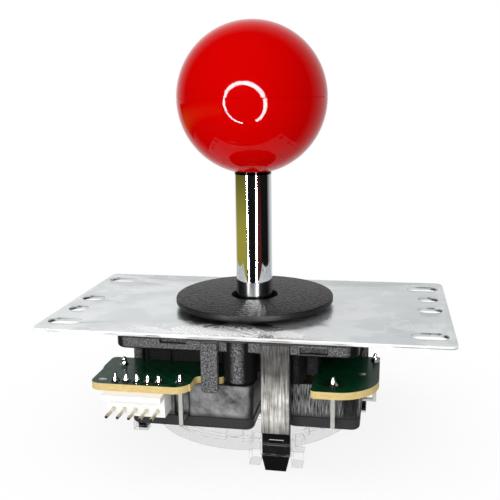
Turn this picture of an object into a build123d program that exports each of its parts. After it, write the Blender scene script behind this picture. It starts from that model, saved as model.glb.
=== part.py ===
"""Arcade joystick lever: ball top on a chromed shaft, steel mounting plate, moulded switch
housing with four flat microswitches in a pinwheel, circuit board, and a clear restrictor gate.

Millimetres. The origin is on the shaft axis at the top face of the mounting plate. +Z runs up
the lever, +X along the plate's long side, and the side with the wiring header faces -Y.
"""

import os
from math import atan2, cos, degrees, radians, sqrt, tan

from build123d import *

# Lever and its travel
TILT = 8.0                      # degrees each way about X and about Y
PIVOT_Z = -3.0
BALL_R = 18.0
BALL_CENTRE_Z = 50.75
BALL_FLAT_R = 5.2               # flat at the foot of the ball
INSERT_R = 4.6
INSERT_END = 1.0                # closed end of the insert
STUD_R = 3.0
STUD_LENGTH = 9.5
STUD_CHAMFER = 0.6
THREAD_DEPTH = 11.0
SHAFT_R = 4.5
SPINDLE_R = 3.3                 # slimmer part of the shaft below its shoulder
SPINDLE_CHAMFER = 0.4
SHAFT_END_Z = -28.6
DRIVER_SLOT = 1.0
DRIVER_SLOT_DEPTH = 1.6
RUN = 0.05                      # radial running clearance on the spindle
SEATED = 0.02                   # radial clearance of pressed and threaded pieces
EMBED = 1.0                     # how far joined parts of one piece run into each other
SAME = 0.001                    # places closer than this are the same place

# Dust washer and mounting plate
WASHER_R = 19.6
WASHER_THICK = 1.7
WASHER_LIFT = 0.9               # collar of the housing that it rests on, above the plate
WASHER_HOLE_R = 5.8
WASHER_EDGE = 0.5
PLATE_LENGTH = 95.0
PLATE_DEPTH = 53.0
PLATE_THICK = 1.0
PLATE_CORNER = 2.0
SLOT_WIDTH = 4.6
OUTER_SLOT_INSET = 5.5          # middle of the corner slots in from the plate's end
OUTER_SLOT_MARGIN = 6.5         # and in from its long side
OUTER_SLOT_LENGTH = 8.0
INNER_SLOT_INSET = 4.5
INNER_SLOT_LENGTH = 5.8
SHORT_SLOT_Y = 9.6
SHORT_SLOT_LENGTH = 4.9
SCREW_PLACE = 11.5              # screws at plus and minus this in X and Y
SCREW_R = 1.5
SCREW_HEAD_R = 2.2
SCREW_LENGTH = 8.0
SCREW_SPARE = 0.5               # hole deeper than the screw
SCREW_RECESS = 0.1
SCREW_CROSS = 0.7
SCREW_CROSS_DEPTH = 0.6

# Moulded housing
FLANGE_HALF = 27.2
FLANGE_THICK = 2.6
FLANGE_CORNER = 3.0
FLANGE_EDGE = 0.6
TIER_HALF = 18.0                # square tier under the flange
TIER_ARM = 22.0                 # arm of the tier above the cut in the board
TIER_CORNER = 2.0
TIER_HEIGHT = 5.9
COLLAR_R = 9.2                  # locates the housing in the plate
COLLAR_GAP = 0.3
CUP_R = 6.9                     # spherical seat of the pivot
CUP_WALL = 1.0
CUP_OPENING_R = 6.0
CUP_DEPTH = 4.1                 # seat below the pivot centre
SPRING_BORE_R = 11.2
SPRING_CEILING = 0.2            # spring starts this far below the flange
NOTCH_WIDTH = 6.0
NOTCH_HEIGHT = 0.9
NOTCH_DEPTH = 0.8
NOTCH_X = -13.5
POCKET_X = 17.6
POCKET_DROP = 0.7
POCKET_HEIGHT = 1.2
CLIP_X = 9.3
CLIP_WIDTH = 6.2
CLIP_FRONT = 28.0
CLIP_THICK = 2.2
CLIP_FACE_END = -21.4
CLIP_STEP = 0.9
CLIP_WINDOW_WIDTH = 3.4
CLIP_WINDOW_TOP = -23.1
CLIP_WINDOW_HEIGHT = 0.8
FOOT_TOP = -26.7
FOOT_BOTTOM = -30.1
FOOT_TAPER = 0.8
TAB_X = -5.1
TAB_WIDTH = 3.8
TAB_THICK = 1.2
TAB_GAP = 0.2                   # between the tab and the switch behind it
TAB_BOTTOM = -12.4
TAB_CORNER = 0.9
BOSS_X = 1.0
BOSS_Y = -24.0
BOSS_R = 4.0
BOSS_BOTTOM = -10.3
BOSS_GAP = 0.4                  # between the boss and the cut in the board
RIB_X = 13.4                    # round rib beside the clip
RIB_Y = -22.4
RIB_R = 2.2
RIB_BOTTOM = -10.9

# Pivot, return spring and actuator
PIVOT_R = 6.6
PIVOT_UP = 2.4                  # top flat above the pivot centre
PIVOT_DOWN = 4.2                # bottom flat below the pivot centre
SPRING_R = 9.3
SPRING_WIRE = 1.0
SPRING_TURNS = 4.5
SPRING_FREE = 0.05              # gap left at each end of the modelled spring
SEAT_TOP = -11.8
SEAT_R = 10.0
SEAT_THICK = 1.2
SEAT_HUB_R = 7.6
SEAT_HUB_RISE = 1.0
BARREL_R = 5.5
BARREL_END = -25.9
BARREL_CHAMFER = 0.5
RING_THICK = 0.7
RING_GROOVE = 0.7
RING_R = 5.2
RING_OPENING = 4.4

# Circuit board and wiring header
BOARD_THICK = 1.6
BOARD_HALF = 31.4
BOARD_CORNER = 9.0
BOARD_HOLE_R = 12.0
CUTOUT_LEFT = -2.5              # deep cut beside the boss and clip
CUTOUT_RIGHT = 17.2
CUTOUT_EDGE = 18.0
SHELF_GAP = 0.9                 # shallow cut behind the tab
CUTOUT_ROUND = 1.2
CUTOUT_NOSE = 1.1               # rounded outer corners beside the cut
TONGUE_REACH = 0.4              # board carried forward past the header
TONGUE_INSET = 0.4              # left end in from the board's side
TONGUE_RIGHT = -8.7             # the shallow cut starts here too
TONGUE_CORNER = 2.4
TONGUE_CURVE = 3.6
HEADER_PINS = 5
HEADER_PITCH = 2.5
HEADER_FIRST_X = -25.6
HEADER_GAP = 1.2                # between the header and the switch behind it
HEADER_ROW = 3.2                # pins out from the back of the header
HEADER_END = 1.6
HEADER_DEPTH = 4.8
HEADER_HEIGHT = 5.7
HEADER_LIP = 1.2
HEADER_LIP_REACH = 3.0
PIN_SIZE = 0.64
PIN_DROP = 4.2                  # pin axis below the board
PIN_OUT = 6.4                   # pin tip out from its row
PIN_RISE = 0.9
SOLDER_R = 1.0
SOLDER_TOP_R = 0.3
SOLDER_RISE = 2.25

# Microswitches
SWITCH_LENGTH = 27.8
SWITCH_END = 4.1                # end nearest the clip
SWITCH_FRONT = 27.2
SWITCH_DEPTH = 15.9
SWITCH_HEIGHT = 10.3
SWITCH_CORNER = 1.8
COVER_HEIGHT = 2.6
COVER_EDGE = 0.8
COVER_FLOOR = 1.2
COVER_PROUD = 0.2               # cover wider than the case all round
CASE_WALL = 1.4
GROOVE_WIDTH = 3.0
GROOVE_LEAD = 2.4               # groove starts this far before the terminal
GROOVE_ROUND = 1.0              # rounded edge of the case beside the groove
GROOVE_DEPTH = 1.4
TERMINAL_SIZE = 0.9
TERMINAL_THICK = 0.6
OUTER_EDGE = 1.1                # terminal pin in from the edge of the board
END_REACH = 3.4                 # terminal pin out from the end of the case
OUTER_TERMINAL_X = -11.2
END_TERMINAL_BACK = 5.5         # end terminal back from the front of the case
TERMINAL_FOOT = 0.2             # pin below its lug
TERMINAL_POINT = 0.3            # chamfer at the foot of the pin
BLADE_Z = -17.9                 # middle of the lever blade and the plunger
BLADE_WIDTH = 3.4
BLADE_THICK = 0.5
BLADE_GAP = 0.6                 # between barrel and blade at rest
HINGE_FROM_END = 3.0
HINGE_PIN_R = 0.5
HINGE_EYE_R = 1.1
HINGE_OUT = 1.4                 # hinge axis out from the inner face of the case
HINGE_PLAY = 0.06
EAR_THICK = 0.8
EAR_GAP = 0.15
BLADE_FLAT_FROM = -4.5
BLADE_FLAT_TO = 4.2
PLUNGER_X = -14.0
PLUNGER_R = 0.9
PLUNGER_PLAY = 0.08
PLUNGER_GAP = 0.2
PLUNGER_INSIDE = 4.0
PLUNGER_COLLAR_R = 1.6
PLUNGER_COLLAR = 1.0

# Restrictor gate
GATE_R = 25.5
GATE_TOP = -24.1
GATE_BOTTOM = -27.0
GATE_FLOOR = 1.3
GATE_RIM = 1.5
GATE_WALL = 1.5
GATE_PLAY = 0.15                # left between barrel and gate at full tilt
GATE_WALL_TOP = -23.0
POST_WIDTH = 2.4
POST_TOP = -22.6
POST_BOTTOM = -29.0
POST_GAP = 0.4
POST_BACK = 24.4
BAR_HEIGHT = 2.6
BAR_GAP = 0.1
PAD_R = 2.2
PAD_PLACES = ((-0.8, -23.0), (-16.0, -16.5))

# Levels and places that follow from the stack of pieces
PLATE_BOTTOM = -PLATE_THICK
FLANGE_BOTTOM = PLATE_BOTTOM - FLANGE_THICK
TIER_BOTTOM = FLANGE_BOTTOM - TIER_HEIGHT
BOARD_TOP = TIER_BOTTOM
BOARD_BOTTOM = BOARD_TOP - BOARD_THICK
SWITCH_TOP = BOARD_BOTTOM
SWITCH_BOTTOM = SWITCH_TOP - SWITCH_HEIGHT
SEAM_Z = SWITCH_BOTTOM + COVER_HEIGHT
SWITCH_INNER = SWITCH_FRONT - SWITCH_DEPTH
SWITCH_FAR_END = SWITCH_END - SWITCH_LENGTH
END_TERMINAL_Y = END_TERMINAL_BACK - SWITCH_FRONT
OUTER_SLOT_X = PLATE_LENGTH / 2 - OUTER_SLOT_INSET
OUTER_SLOT_Y = PLATE_DEPTH / 2 - OUTER_SLOT_MARGIN
INNER_SLOT_X = PLATE_LENGTH / 2 - INNER_SLOT_INSET
TAB_FRONT = SWITCH_FRONT + TAB_GAP + TAB_THICK
SHELF_EDGE = TAB_FRONT - TAB_THICK - SHELF_GAP
HEADER_BACK = SWITCH_FRONT + HEADER_GAP
HEADER_FRONT = HEADER_BACK + HEADER_DEPTH
HEADER_ROW_Y = -HEADER_BACK - HEADER_ROW
TONGUE_FRONT = HEADER_FRONT + TONGUE_REACH
TONGUE_LEFT = TONGUE_INSET - BOARD_HALF
PIN_TIP = PIN_OUT - HEADER_ROW_Y
SHOULDER_Z = PIVOT_Z + PIVOT_UP
WASHER_TOP = WASHER_LIFT + WASHER_THICK
SPRING_TOP = FLANGE_BOTTOM - SPRING_CEILING
SEAT_BOTTOM = SEAT_TOP - SEAT_THICK
BALL_FOOT_Z = BALL_CENTRE_Z - sqrt(BALL_R**2 - BALL_FLAT_R**2)
GATE_HALF = BARREL_R / cos(radians(TILT)) + (PIVOT_Z - GATE_BOTTOM) * tan(radians(TILT)) + GATE_PLAY
SIDES = ("south", "east", "north", "west")

os.makedirs("parts", exist_ok=True)


def save(name, shape):
    """Write one piece, or one group of like pieces, as parts/NAME.step."""
    export_step(shape, f"parts/{name}.step")


def block(x0, x1, y0, y1, z0, z1):
    """Box between two corners."""
    return Pos((x0 + x1) / 2, (y0 + y1) / 2, (z0 + z1) / 2) * Box(abs(x1 - x0), abs(y1 - y0), abs(z1 - z0))


def rod(x, y, z0, z1, radius):
    """Upright cylinder."""
    return Pos(x, y, (z0 + z1) / 2) * Cylinder(radius, abs(z1 - z0))


def cone(x, y, z0, z1, r0, r1):
    """Upright cone from radius r0 at z0 to r1 at z1, with z1 above z0."""
    return Pos(x, y, (z0 + z1) / 2) * Cone(r0, r1, z1 - z0)


def slab(length, width, corner, z0, z1):
    """Plate with rounded upright corners, centred on the axis."""
    return Pos(0, 0, z0) * extrude(RectangleRounded(length, width, corner), z1 - z0)


def plan(points, z0, z1):
    """Upright prism on a plan outline."""
    return Pos(0, 0, z0) * extrude(make_face(Polyline(*points, close=True)), z1 - z0)


def turned(points):
    """Solid of revolution from a profile of (radius, height) points."""
    return revolve(Plane.XZ * make_face(Polyline(*points, close=True)), Axis.Z)


def to_side(shape, side):
    """Turn a piece of the south side to another side of the pinwheel."""
    return Rot(0, 0, 90 * side) * shape


def group(shapes):
    """Separate solids kept in one node."""
    return Compound(children=list(shapes))


def upright_edges(shape, x, y):
    """Upright edges of a piece at one place in plan."""
    edges = shape.edges().filter_by(Axis.Z)
    return [e for e in edges if abs(e.center().X - x) < SAME and abs(e.center().Y - y) < SAME]


# Ball top and its threaded insert
ball = Pos(0, 0, BALL_CENTRE_Z) * Sphere(BALL_R)
ball -= block(-BALL_R, BALL_R, -BALL_R, BALL_R, BALL_FOOT_Z - BALL_R, BALL_FOOT_Z)
ball -= rod(0, 0, BALL_FOOT_Z, BALL_FOOT_Z + THREAD_DEPTH, INSERT_R + SEATED)
save("ball_top", ball)

insert = rod(0, 0, BALL_FOOT_Z, BALL_FOOT_Z + THREAD_DEPTH, INSERT_R)
insert -= rod(0, 0, BALL_FOOT_Z, BALL_FOOT_Z + THREAD_DEPTH - INSERT_END, STUD_R + SEATED)
save("ball_insert", insert)

# Shaft: stud, chromed stem, shoulder on the pivot, spindle with a ring groove and driver slot
ring_top = BARREL_END - RUN
ring_bottom = ring_top - RING_THICK
groove_r = SPINDLE_R - RING_GROOVE
shaft = turned([
    (0, SHAFT_END_Z),
    (SPINDLE_R - SPINDLE_CHAMFER, SHAFT_END_Z),
    (SPINDLE_R, SHAFT_END_Z + SPINDLE_CHAMFER),
    (SPINDLE_R, ring_bottom - RUN),
    (groove_r, ring_bottom - RUN),
    (groove_r, ring_top + RUN),
    (SPINDLE_R, ring_top + RUN),
    (SPINDLE_R, SHOULDER_Z),
    (SHAFT_R, SHOULDER_Z),
    (SHAFT_R, BALL_FOOT_Z),
    (STUD_R, BALL_FOOT_Z),
    (STUD_R, BALL_FOOT_Z + STUD_LENGTH - STUD_CHAMFER),
    (STUD_R - STUD_CHAMFER, BALL_FOOT_Z + STUD_LENGTH),
    (0, BALL_FOOT_Z + STUD_LENGTH),
])
shaft -= block(-SHAFT_R, SHAFT_R, -DRIVER_SLOT / 2, DRIVER_SLOT / 2,
               SHAFT_END_Z, SHAFT_END_Z + DRIVER_SLOT_DEPTH)
save("shaft", shaft)

ring = rod(0, 0, ring_bottom, ring_top, RING_R)
ring -= rod(0, 0, ring_bottom, ring_top, groove_r + SEATED)
ring -= block(-RING_OPENING / 2, RING_OPENING / 2, 0, RING_R, ring_bottom, ring_top)
save("retaining_ring", ring)

# Dust washer, resting on the housing's collar just above the plate
washer = rod(0, 0, WASHER_LIFT, WASHER_TOP, WASHER_R)
washer = fillet(washer.edges().group_by(Axis.Z)[-1], WASHER_EDGE)
washer -= rod(0, 0, WASHER_LIFT, WASHER_TOP, WASHER_HOLE_R)
save("dust_washer", washer)


# Mounting plate with its slots, screw holes and the round opening for the housing
def slot_cut(x, y, length):
    """Slot along X through the plate."""
    return Pos(x, y, PLATE_BOTTOM) * extrude(SlotOverall(length, SLOT_WIDTH), PLATE_THICK)


plate = slab(PLATE_LENGTH, PLATE_DEPTH, PLATE_CORNER, PLATE_BOTTOM, 0)
for end in (-1, 1):
    for edge in (-1, 1):
        plate -= slot_cut(end * OUTER_SLOT_X, edge * OUTER_SLOT_Y, OUTER_SLOT_LENGTH)
    plate -= slot_cut(end * INNER_SLOT_X, 0, INNER_SLOT_LENGTH)
    plate -= slot_cut(end * INNER_SLOT_X, end * SHORT_SLOT_Y, SHORT_SLOT_LENGTH)
plate -= rod(0, 0, PLATE_BOTTOM, 0, COLLAR_R + COLLAR_GAP)
screw_places = [(a * SCREW_PLACE, b * SCREW_PLACE) for a in (-1, 1) for b in (-1, 1)]
screw_clear = SCREW_R + SEATED
head_depth = SCREW_HEAD_R - SCREW_R
for x, y in screw_places:
    plate -= rod(x, y, PLATE_BOTTOM, 0, screw_clear)
    plate -= cone(x, y, -SCREW_RECESS - head_depth, -SCREW_RECESS, screw_clear, SCREW_HEAD_R + SEATED)
    plate -= rod(x, y, -SCREW_RECESS, 0, SCREW_HEAD_R + SEATED)
save("mounting_plate", plate)


def plate_screw(x, y):
    """Countersunk screw with a cross recess."""
    head = cone(x, y, -SCREW_RECESS - head_depth, -SCREW_RECESS, SCREW_R, SCREW_HEAD_R)
    screw = head + rod(x, y, -SCREW_RECESS - SCREW_LENGTH, -SCREW_RECESS - head_depth, SCREW_R)
    for long_x, long_y in ((SCREW_R, SCREW_CROSS / 2), (SCREW_CROSS / 2, SCREW_R)):
        screw -= block(x - long_x, x + long_x, y - long_y, y + long_y, -SCREW_RECESS - SCREW_CROSS_DEPTH, 0)
    return screw


save("plate_screws", group(plate_screw(x, y) for x, y in screw_places))


# Moulded housing: flange, stepped tier, pivot cup, clips, tabs and bosses
def clip():
    """South clip: face, stepped window part and tapered foot."""
    left = CLIP_X - CLIP_WIDTH / 2
    right = CLIP_X + CLIP_WIDTH / 2
    back = -CLIP_FRONT + CLIP_THICK
    shape = block(left, right, -CLIP_FRONT, back, CLIP_FACE_END, PLATE_BOTTOM)
    shape += block(left, right, -CLIP_FRONT, -FLANGE_HALF + EMBED, FLANGE_BOTTOM, PLATE_BOTTOM)
    shape += block(left, right, -CLIP_FRONT + CLIP_STEP, back, FOOT_TOP, CLIP_FACE_END)
    foot = make_face(Polyline(
        (left, FOOT_TOP),
        (right, FOOT_TOP),
        (right - FOOT_TAPER, FOOT_BOTTOM),
        (left + FOOT_TAPER, FOOT_BOTTOM),
        close=True,
    ))
    shape += Pos(0, -CLIP_FRONT, 0) * extrude(Plane.XZ * foot, -CLIP_THICK)
    window_left = CLIP_X - CLIP_WINDOW_WIDTH / 2
    window_bottom = CLIP_WINDOW_TOP - CLIP_WINDOW_HEIGHT
    shape -= block(window_left, window_left + CLIP_WINDOW_WIDTH, -CLIP_FRONT, back,
                   window_bottom, CLIP_WINDOW_TOP)
    return shape


def tab():
    """South tab that hangs in front of the board and the switch, with rounded lower corners."""
    left = TAB_X - TAB_WIDTH / 2
    right = TAB_X + TAB_WIDTH / 2
    shape = block(left, right, -TAB_FRONT, -TAB_FRONT + TAB_THICK, TAB_BOTTOM, PLATE_BOTTOM)
    shape = fillet(shape.edges().filter_by(Axis.Y).group_by(Axis.Z)[0], TAB_CORNER)
    return shape + block(left, right, -TAB_FRONT, -FLANGE_HALF + EMBED, FLANGE_BOTTOM, PLATE_BOTTOM)


def face_recesses():
    """Notch at the flange's top edge and pocket in its face, south side."""
    front = -FLANGE_HALF
    notch = block(NOTCH_X - NOTCH_WIDTH / 2, NOTCH_X + NOTCH_WIDTH / 2, front, front + NOTCH_DEPTH,
                  PLATE_BOTTOM - NOTCH_HEIGHT, PLATE_BOTTOM)
    top = PLATE_BOTTOM - POCKET_DROP
    pocket = block(POCKET_X - NOTCH_WIDTH / 2, POCKET_X + NOTCH_WIDTH / 2, front, front + NOTCH_DEPTH,
                   top - POCKET_HEIGHT, top)
    return notch + pocket


def boss():
    """South boss, which stands on the board where it overlaps it."""
    shape = rod(BOSS_X, BOSS_Y, BOSS_BOTTOM, PLATE_BOTTOM, BOSS_R)
    return shape - block(BOSS_X - BOSS_R, CUTOUT_LEFT + BOSS_GAP, BOSS_Y - BOSS_R, BOSS_Y + BOSS_R,
                         BOSS_BOTTOM, BOARD_TOP)


flange = slab(2 * FLANGE_HALF, 2 * FLANGE_HALF, FLANGE_CORNER, FLANGE_BOTTOM, PLATE_BOTTOM)
flange = fillet(flange.edges().group_by(Axis.Z)[0], FLANGE_EDGE)
housing = flange + slab(2 * TIER_HALF, 2 * TIER_HALF, TIER_CORNER, TIER_BOTTOM, FLANGE_BOTTOM)
arm = block(CUTOUT_LEFT, TIER_HALF, -TIER_ARM, -TIER_HALF + EMBED, TIER_BOTTOM, FLANGE_BOTTOM)
for side in range(4):
    housing += to_side(arm, side)
housing += rod(0, 0, PLATE_BOTTOM, WASHER_LIFT, COLLAR_R)
housing -= rod(0, 0, TIER_BOTTOM, SPRING_TOP, SPRING_BORE_R)
housing += rod(0, 0, PIVOT_Z - CUP_DEPTH, FLANGE_BOTTOM, CUP_R + CUP_WALL)
housing -= rod(0, 0, PIVOT_Z, WASHER_LIFT, CUP_R)
housing -= Pos(0, 0, PIVOT_Z) * Sphere(CUP_R)
housing -= rod(0, 0, PIVOT_Z - CUP_DEPTH, PIVOT_Z, CUP_OPENING_R)
for x, y in screw_places:
    housing -= rod(x, y, -SCREW_RECESS - SCREW_LENGTH - SCREW_SPARE, PLATE_BOTTOM, screw_clear)
for side in range(4):
    housing -= to_side(face_recesses(), side)
for side in range(4):
    housing += to_side(clip(), side)
    housing += to_side(tab(), side)
    housing += to_side(boss(), side)
    housing += to_side(rod(RIB_X, RIB_Y, RIB_BOTTOM, FLANGE_BOTTOM, RIB_R), side)
save("main_housing", housing)

# Pivot, return spring, spring seat and actuator
pivot = Pos(0, 0, PIVOT_Z) * Sphere(PIVOT_R)
pivot &= rod(0, 0, PIVOT_Z - PIVOT_DOWN, PIVOT_Z + PIVOT_UP, PIVOT_R)
pivot -= rod(0, 0, PIVOT_Z - PIVOT_R, PIVOT_Z + PIVOT_R, SPINDLE_R + RUN)
save("pivot", pivot)

spring_low = SEAT_TOP + SPRING_WIRE / 2 + SPRING_FREE
spring_high = SPRING_TOP - SPRING_WIRE / 2 - SPRING_FREE
spring_rise = spring_high - spring_low
coil = Pos(0, 0, spring_low) * Helix(spring_rise / SPRING_TURNS, spring_rise, SPRING_R)
wire_start = Plane(origin=coil @ 0, z_dir=coil % 0)
save("return_spring", sweep(wire_start * Circle(SPRING_WIRE / 2), path=coil, is_frenet=True))

seat = rod(0, 0, SEAT_BOTTOM, SEAT_TOP, SEAT_R)
seat += rod(0, 0, SEAT_TOP, SEAT_TOP + SEAT_HUB_RISE, SEAT_HUB_R)
seat -= rod(0, 0, SEAT_BOTTOM, SEAT_TOP + SEAT_HUB_RISE, SPINDLE_R + RUN)
save("spring_seat", seat)

barrel = rod(0, 0, BARREL_END, SEAT_BOTTOM, BARREL_R)
barrel = chamfer(barrel.edges().group_by(Axis.Z)[0], BARREL_CHAMFER)
barrel -= rod(0, 0, BARREL_END, SEAT_BOTTOM, SPINDLE_R + RUN)
save("actuator", barrel)


# Circuit board with a cut on each side for the clip, boss and tab, and a tongue for the header
def board_cut():
    """South cut in the board, deep beside the clip and shallow behind the tab."""
    over = max(TONGUE_FRONT, BOARD_HALF) + EMBED
    deep = block(CUTOUT_LEFT, CUTOUT_RIGHT, -over, -CUTOUT_EDGE, BOARD_BOTTOM, BOARD_TOP)
    shelf = block(TONGUE_RIGHT, CUTOUT_LEFT + EMBED, -over, -SHELF_EDGE, BOARD_BOTTOM, BOARD_TOP)
    deep = fillet(upright_edges(deep, CUTOUT_RIGHT, -CUTOUT_EDGE), CUTOUT_ROUND)
    shelf = fillet(upright_edges(shelf, TONGUE_RIGHT, -SHELF_EDGE), CUTOUT_ROUND)
    return deep + shelf


board = slab(2 * BOARD_HALF, 2 * BOARD_HALF, BOARD_CORNER, BOARD_BOTTOM, BOARD_TOP)
tongue = block(TONGUE_LEFT, TONGUE_RIGHT, -TONGUE_FRONT, -CUTOUT_EDGE, BOARD_BOTTOM, BOARD_TOP)
tongue = fillet(upright_edges(tongue, TONGUE_LEFT, -TONGUE_FRONT), TONGUE_CORNER)
tongue = fillet(upright_edges(tongue, TONGUE_RIGHT, -TONGUE_FRONT), TONGUE_CURVE)
board += tongue
for side in range(4):
    board -= to_side(board_cut(), side)
for side in range(4):
    for nose in (Vector(CUTOUT_RIGHT, -BOARD_HALF), Vector(CUTOUT_LEFT, -SHELF_EDGE)):
        nose = nose.rotate(Axis.Z, 90 * side)
        board = fillet(upright_edges(board, nose.X, nose.Y), CUTOUT_NOSE)
board -= rod(0, 0, BOARD_BOTTOM, BOARD_TOP, BOARD_HOLE_R)

header_x = [HEADER_FIRST_X + HEADER_PITCH * n for n in range(HEADER_PINS)]
outer_terminal_y = OUTER_EDGE - BOARD_HALF
end_terminal_x = SWITCH_FAR_END - END_REACH
terminal_places = ((OUTER_TERMINAL_X, outer_terminal_y), (end_terminal_x, END_TERMINAL_Y))
pin_hole = PIN_SIZE + 2 * RUN
terminal_hole = TERMINAL_SIZE + 2 * RUN


def board_hole(x, y, size):
    """Square plated hole for a pin."""
    return block(x - size / 2, x + size / 2, y - size / 2, y + size / 2, BOARD_BOTTOM, BOARD_TOP)


for x in header_x:
    board -= board_hole(x, HEADER_ROW_Y, pin_hole)
for side in range(4):
    for x, y in terminal_places:
        board -= to_side(board_hole(x, y, terminal_hole), side)
save("circuit_board", board)

# Wiring header: white housing and bent square pins
pin_z = BOARD_BOTTOM - PIN_DROP
header_left = header_x[0] - HEADER_END
header_right = header_x[-1] + HEADER_END
header = block(header_left, header_right, -HEADER_FRONT, -HEADER_BACK,
               BOARD_BOTTOM - HEADER_HEIGHT, BOARD_BOTTOM)
header += block(header_left, header_right, -HEADER_FRONT - HEADER_LIP_REACH, -HEADER_FRONT,
                BOARD_BOTTOM - HEADER_LIP, BOARD_BOTTOM)


def header_pin(x):
    """Square pin from above the board down into the housing and out to the front."""
    half = PIN_SIZE / 2
    upright = block(x - half, x + half, HEADER_ROW_Y - half, HEADER_ROW_Y + half,
                    pin_z - half, BOARD_TOP + PIN_RISE)
    return upright + block(x - half, x + half, -PIN_TIP, HEADER_ROW_Y, pin_z - half, pin_z + half)


for x in header_x:
    header -= header_pin(x)
save("header_housing", header)
save("header_pins", group(header_pin(x) for x in header_x))


# Solder joints: a cone round each pin on top of the board
def solder(x, y, size):
    """Solder cone with the pin's square hole through it."""
    joint = cone(x, y, BOARD_TOP, BOARD_TOP + SOLDER_RISE, SOLDER_R, SOLDER_TOP_R)
    half = size / 2
    return joint - block(x - half, x + half, y - half, y + half, BOARD_TOP, BOARD_TOP + PIN_RISE + RUN)


joints = [solder(x, HEADER_ROW_Y, pin_hole) for x in header_x]
for side in range(4):
    joints += [to_side(solder(x, y, terminal_hole), side) for x, y in terminal_places]
save("solder_joints", group(joints))

# Microswitches: case, cover, terminals, plunger and hinged lever blade
hinge_x = SWITCH_FAR_END + HINGE_FROM_END
hinge_y = -SWITCH_INNER + HINGE_OUT
blade_y = -BARREL_R - BLADE_GAP - BLADE_THICK / 2
blade_slope = (blade_y - hinge_y) / (BLADE_FLAT_FROM - hinge_x)
blade_low = BLADE_Z - BLADE_WIDTH / 2
blade_high = BLADE_Z + BLADE_WIDTH / 2
blade_back = BLADE_THICK / 2 / cos(atan2(blade_slope, 1))
plunger_tip = hinge_y + (PLUNGER_X - hinge_x) * blade_slope - blade_back - PLUNGER_GAP


def switch_box(z0, z1, proud):
    """Outside of a switch between two levels, with rounded upright corners."""
    centre_x = (SWITCH_END + SWITCH_FAR_END) / 2
    centre_y = -(SWITCH_FRONT + SWITCH_INNER) / 2
    outside = slab(SWITCH_LENGTH + 2 * proud, SWITCH_DEPTH + 2 * proud, SWITCH_CORNER + proud, z0, z1)
    return Pos(centre_x, centre_y, 0) * outside


def switch_inside(z0, z1):
    """Room inside a switch between two levels."""
    return block(SWITCH_FAR_END + CASE_WALL, SWITCH_END - CASE_WALL, -SWITCH_FRONT + GROOVE_DEPTH + CASE_WALL,
                 -SWITCH_INNER - CASE_WALL, z0, z1)


def hinge_ear(z):
    """Flat ear that carries one end of the hinge pin."""
    ear = block(hinge_x - HINGE_EYE_R, hinge_x + HINGE_EYE_R, -SWITCH_INNER, hinge_y, z, z + EAR_THICK)
    return ear + rod(hinge_x, hinge_y, z, z + EAR_THICK, HINGE_EYE_R)


def switch_case():
    """Upper shell, open below, with hinge ears, a pin, a terminal groove and the plunger's hole."""
    case = switch_box(SEAM_Z, SWITCH_TOP, 0)
    case -= switch_inside(SEAM_Z, SWITCH_TOP - CASE_WALL)
    groove = OUTER_TERMINAL_X - GROOVE_LEAD
    case -= block(groove, groove + GROOVE_WIDTH, -SWITCH_FRONT, -SWITCH_FRONT + GROOVE_DEPTH,
                  SEAM_Z, SWITCH_TOP)
    case = fillet(upright_edges(case, groove + GROOVE_WIDTH, -SWITCH_FRONT), GROOVE_ROUND)
    case -= plunger_hole()
    case += hinge_ear(blade_high + EAR_GAP) + hinge_ear(blade_low - EAR_GAP - EAR_THICK)
    return case + rod(hinge_x, hinge_y, blade_low - EAR_GAP, blade_high + EAR_GAP, HINGE_PIN_R)


def plunger_hole():
    """Round way through the inner wall of the case."""
    way = Pos(PLUNGER_X, -SWITCH_INNER - CASE_WALL / 2, BLADE_Z) * Rot(90, 0, 0)
    return way * Cylinder(PLUNGER_R + PLUNGER_PLAY, CASE_WALL)


def switch_cover():
    """Lower cover, hollow, with a rounded bottom edge and room for the terminals."""
    cover = switch_box(SWITCH_BOTTOM, SEAM_Z, COVER_PROUD)
    cover = fillet(cover.edges().group_by(Axis.Z)[0], COVER_EDGE)
    cover -= switch_inside(SWITCH_BOTTOM + COVER_FLOOR, SEAM_Z)
    cover -= plunger_hole()
    for terminal in terminal_strips():
        cover -= terminal
    return cover


def terminal_lugs():
    """Flat lugs of the two terminals, at the top of the cover."""
    half = TERMINAL_SIZE / 2
    low = SEAM_Z - TERMINAL_THICK
    outer = block(OUTER_TERMINAL_X - half, OUTER_TERMINAL_X + half, outer_terminal_y - half,
                  -SWITCH_FRONT + GROOVE_DEPTH + CASE_WALL + EMBED, low, SEAM_Z)
    end = block(end_terminal_x - half, SWITCH_FAR_END + CASE_WALL + EMBED, END_TERMINAL_Y - half,
                END_TERMINAL_Y + half, low, SEAM_Z)
    return outer, end


def terminal_strips():
    """Two bent terminals: a lug out of the case and a pin up through the board."""
    half = TERMINAL_SIZE / 2
    pieces = []
    for lug, (x, y) in zip(terminal_lugs(), terminal_places):
        pin = block(x - half, x + half, y - half, y + half, SEAM_Z - TERMINAL_THICK - TERMINAL_FOOT,
                    BOARD_TOP + PIN_RISE)
        pin = chamfer(pin.edges().group_by(Axis.Z)[0], TERMINAL_POINT)
        pieces.append(lug + pin)
    return pieces


def switch_plunger():
    """Moulded plunger with a round nose and a collar inside the case."""
    lie = Pos(PLUNGER_X, 0, BLADE_Z) * Rot(-90, 0, 0)
    inner = -SWITCH_INNER - PLUNGER_INSIDE
    collar_top = -SWITCH_INNER - CASE_WALL - PLUNGER_COLLAR
    nose = plunger_tip - PLUNGER_R
    shape = turned([(0, inner), (PLUNGER_R, inner), (PLUNGER_R, nose), (0, nose)])
    shape += Pos(0, 0, nose) * Sphere(PLUNGER_R)
    shape += rod(0, 0, collar_top - PLUNGER_COLLAR, collar_top, PLUNGER_COLLAR_R)
    return lie * shape


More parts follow.
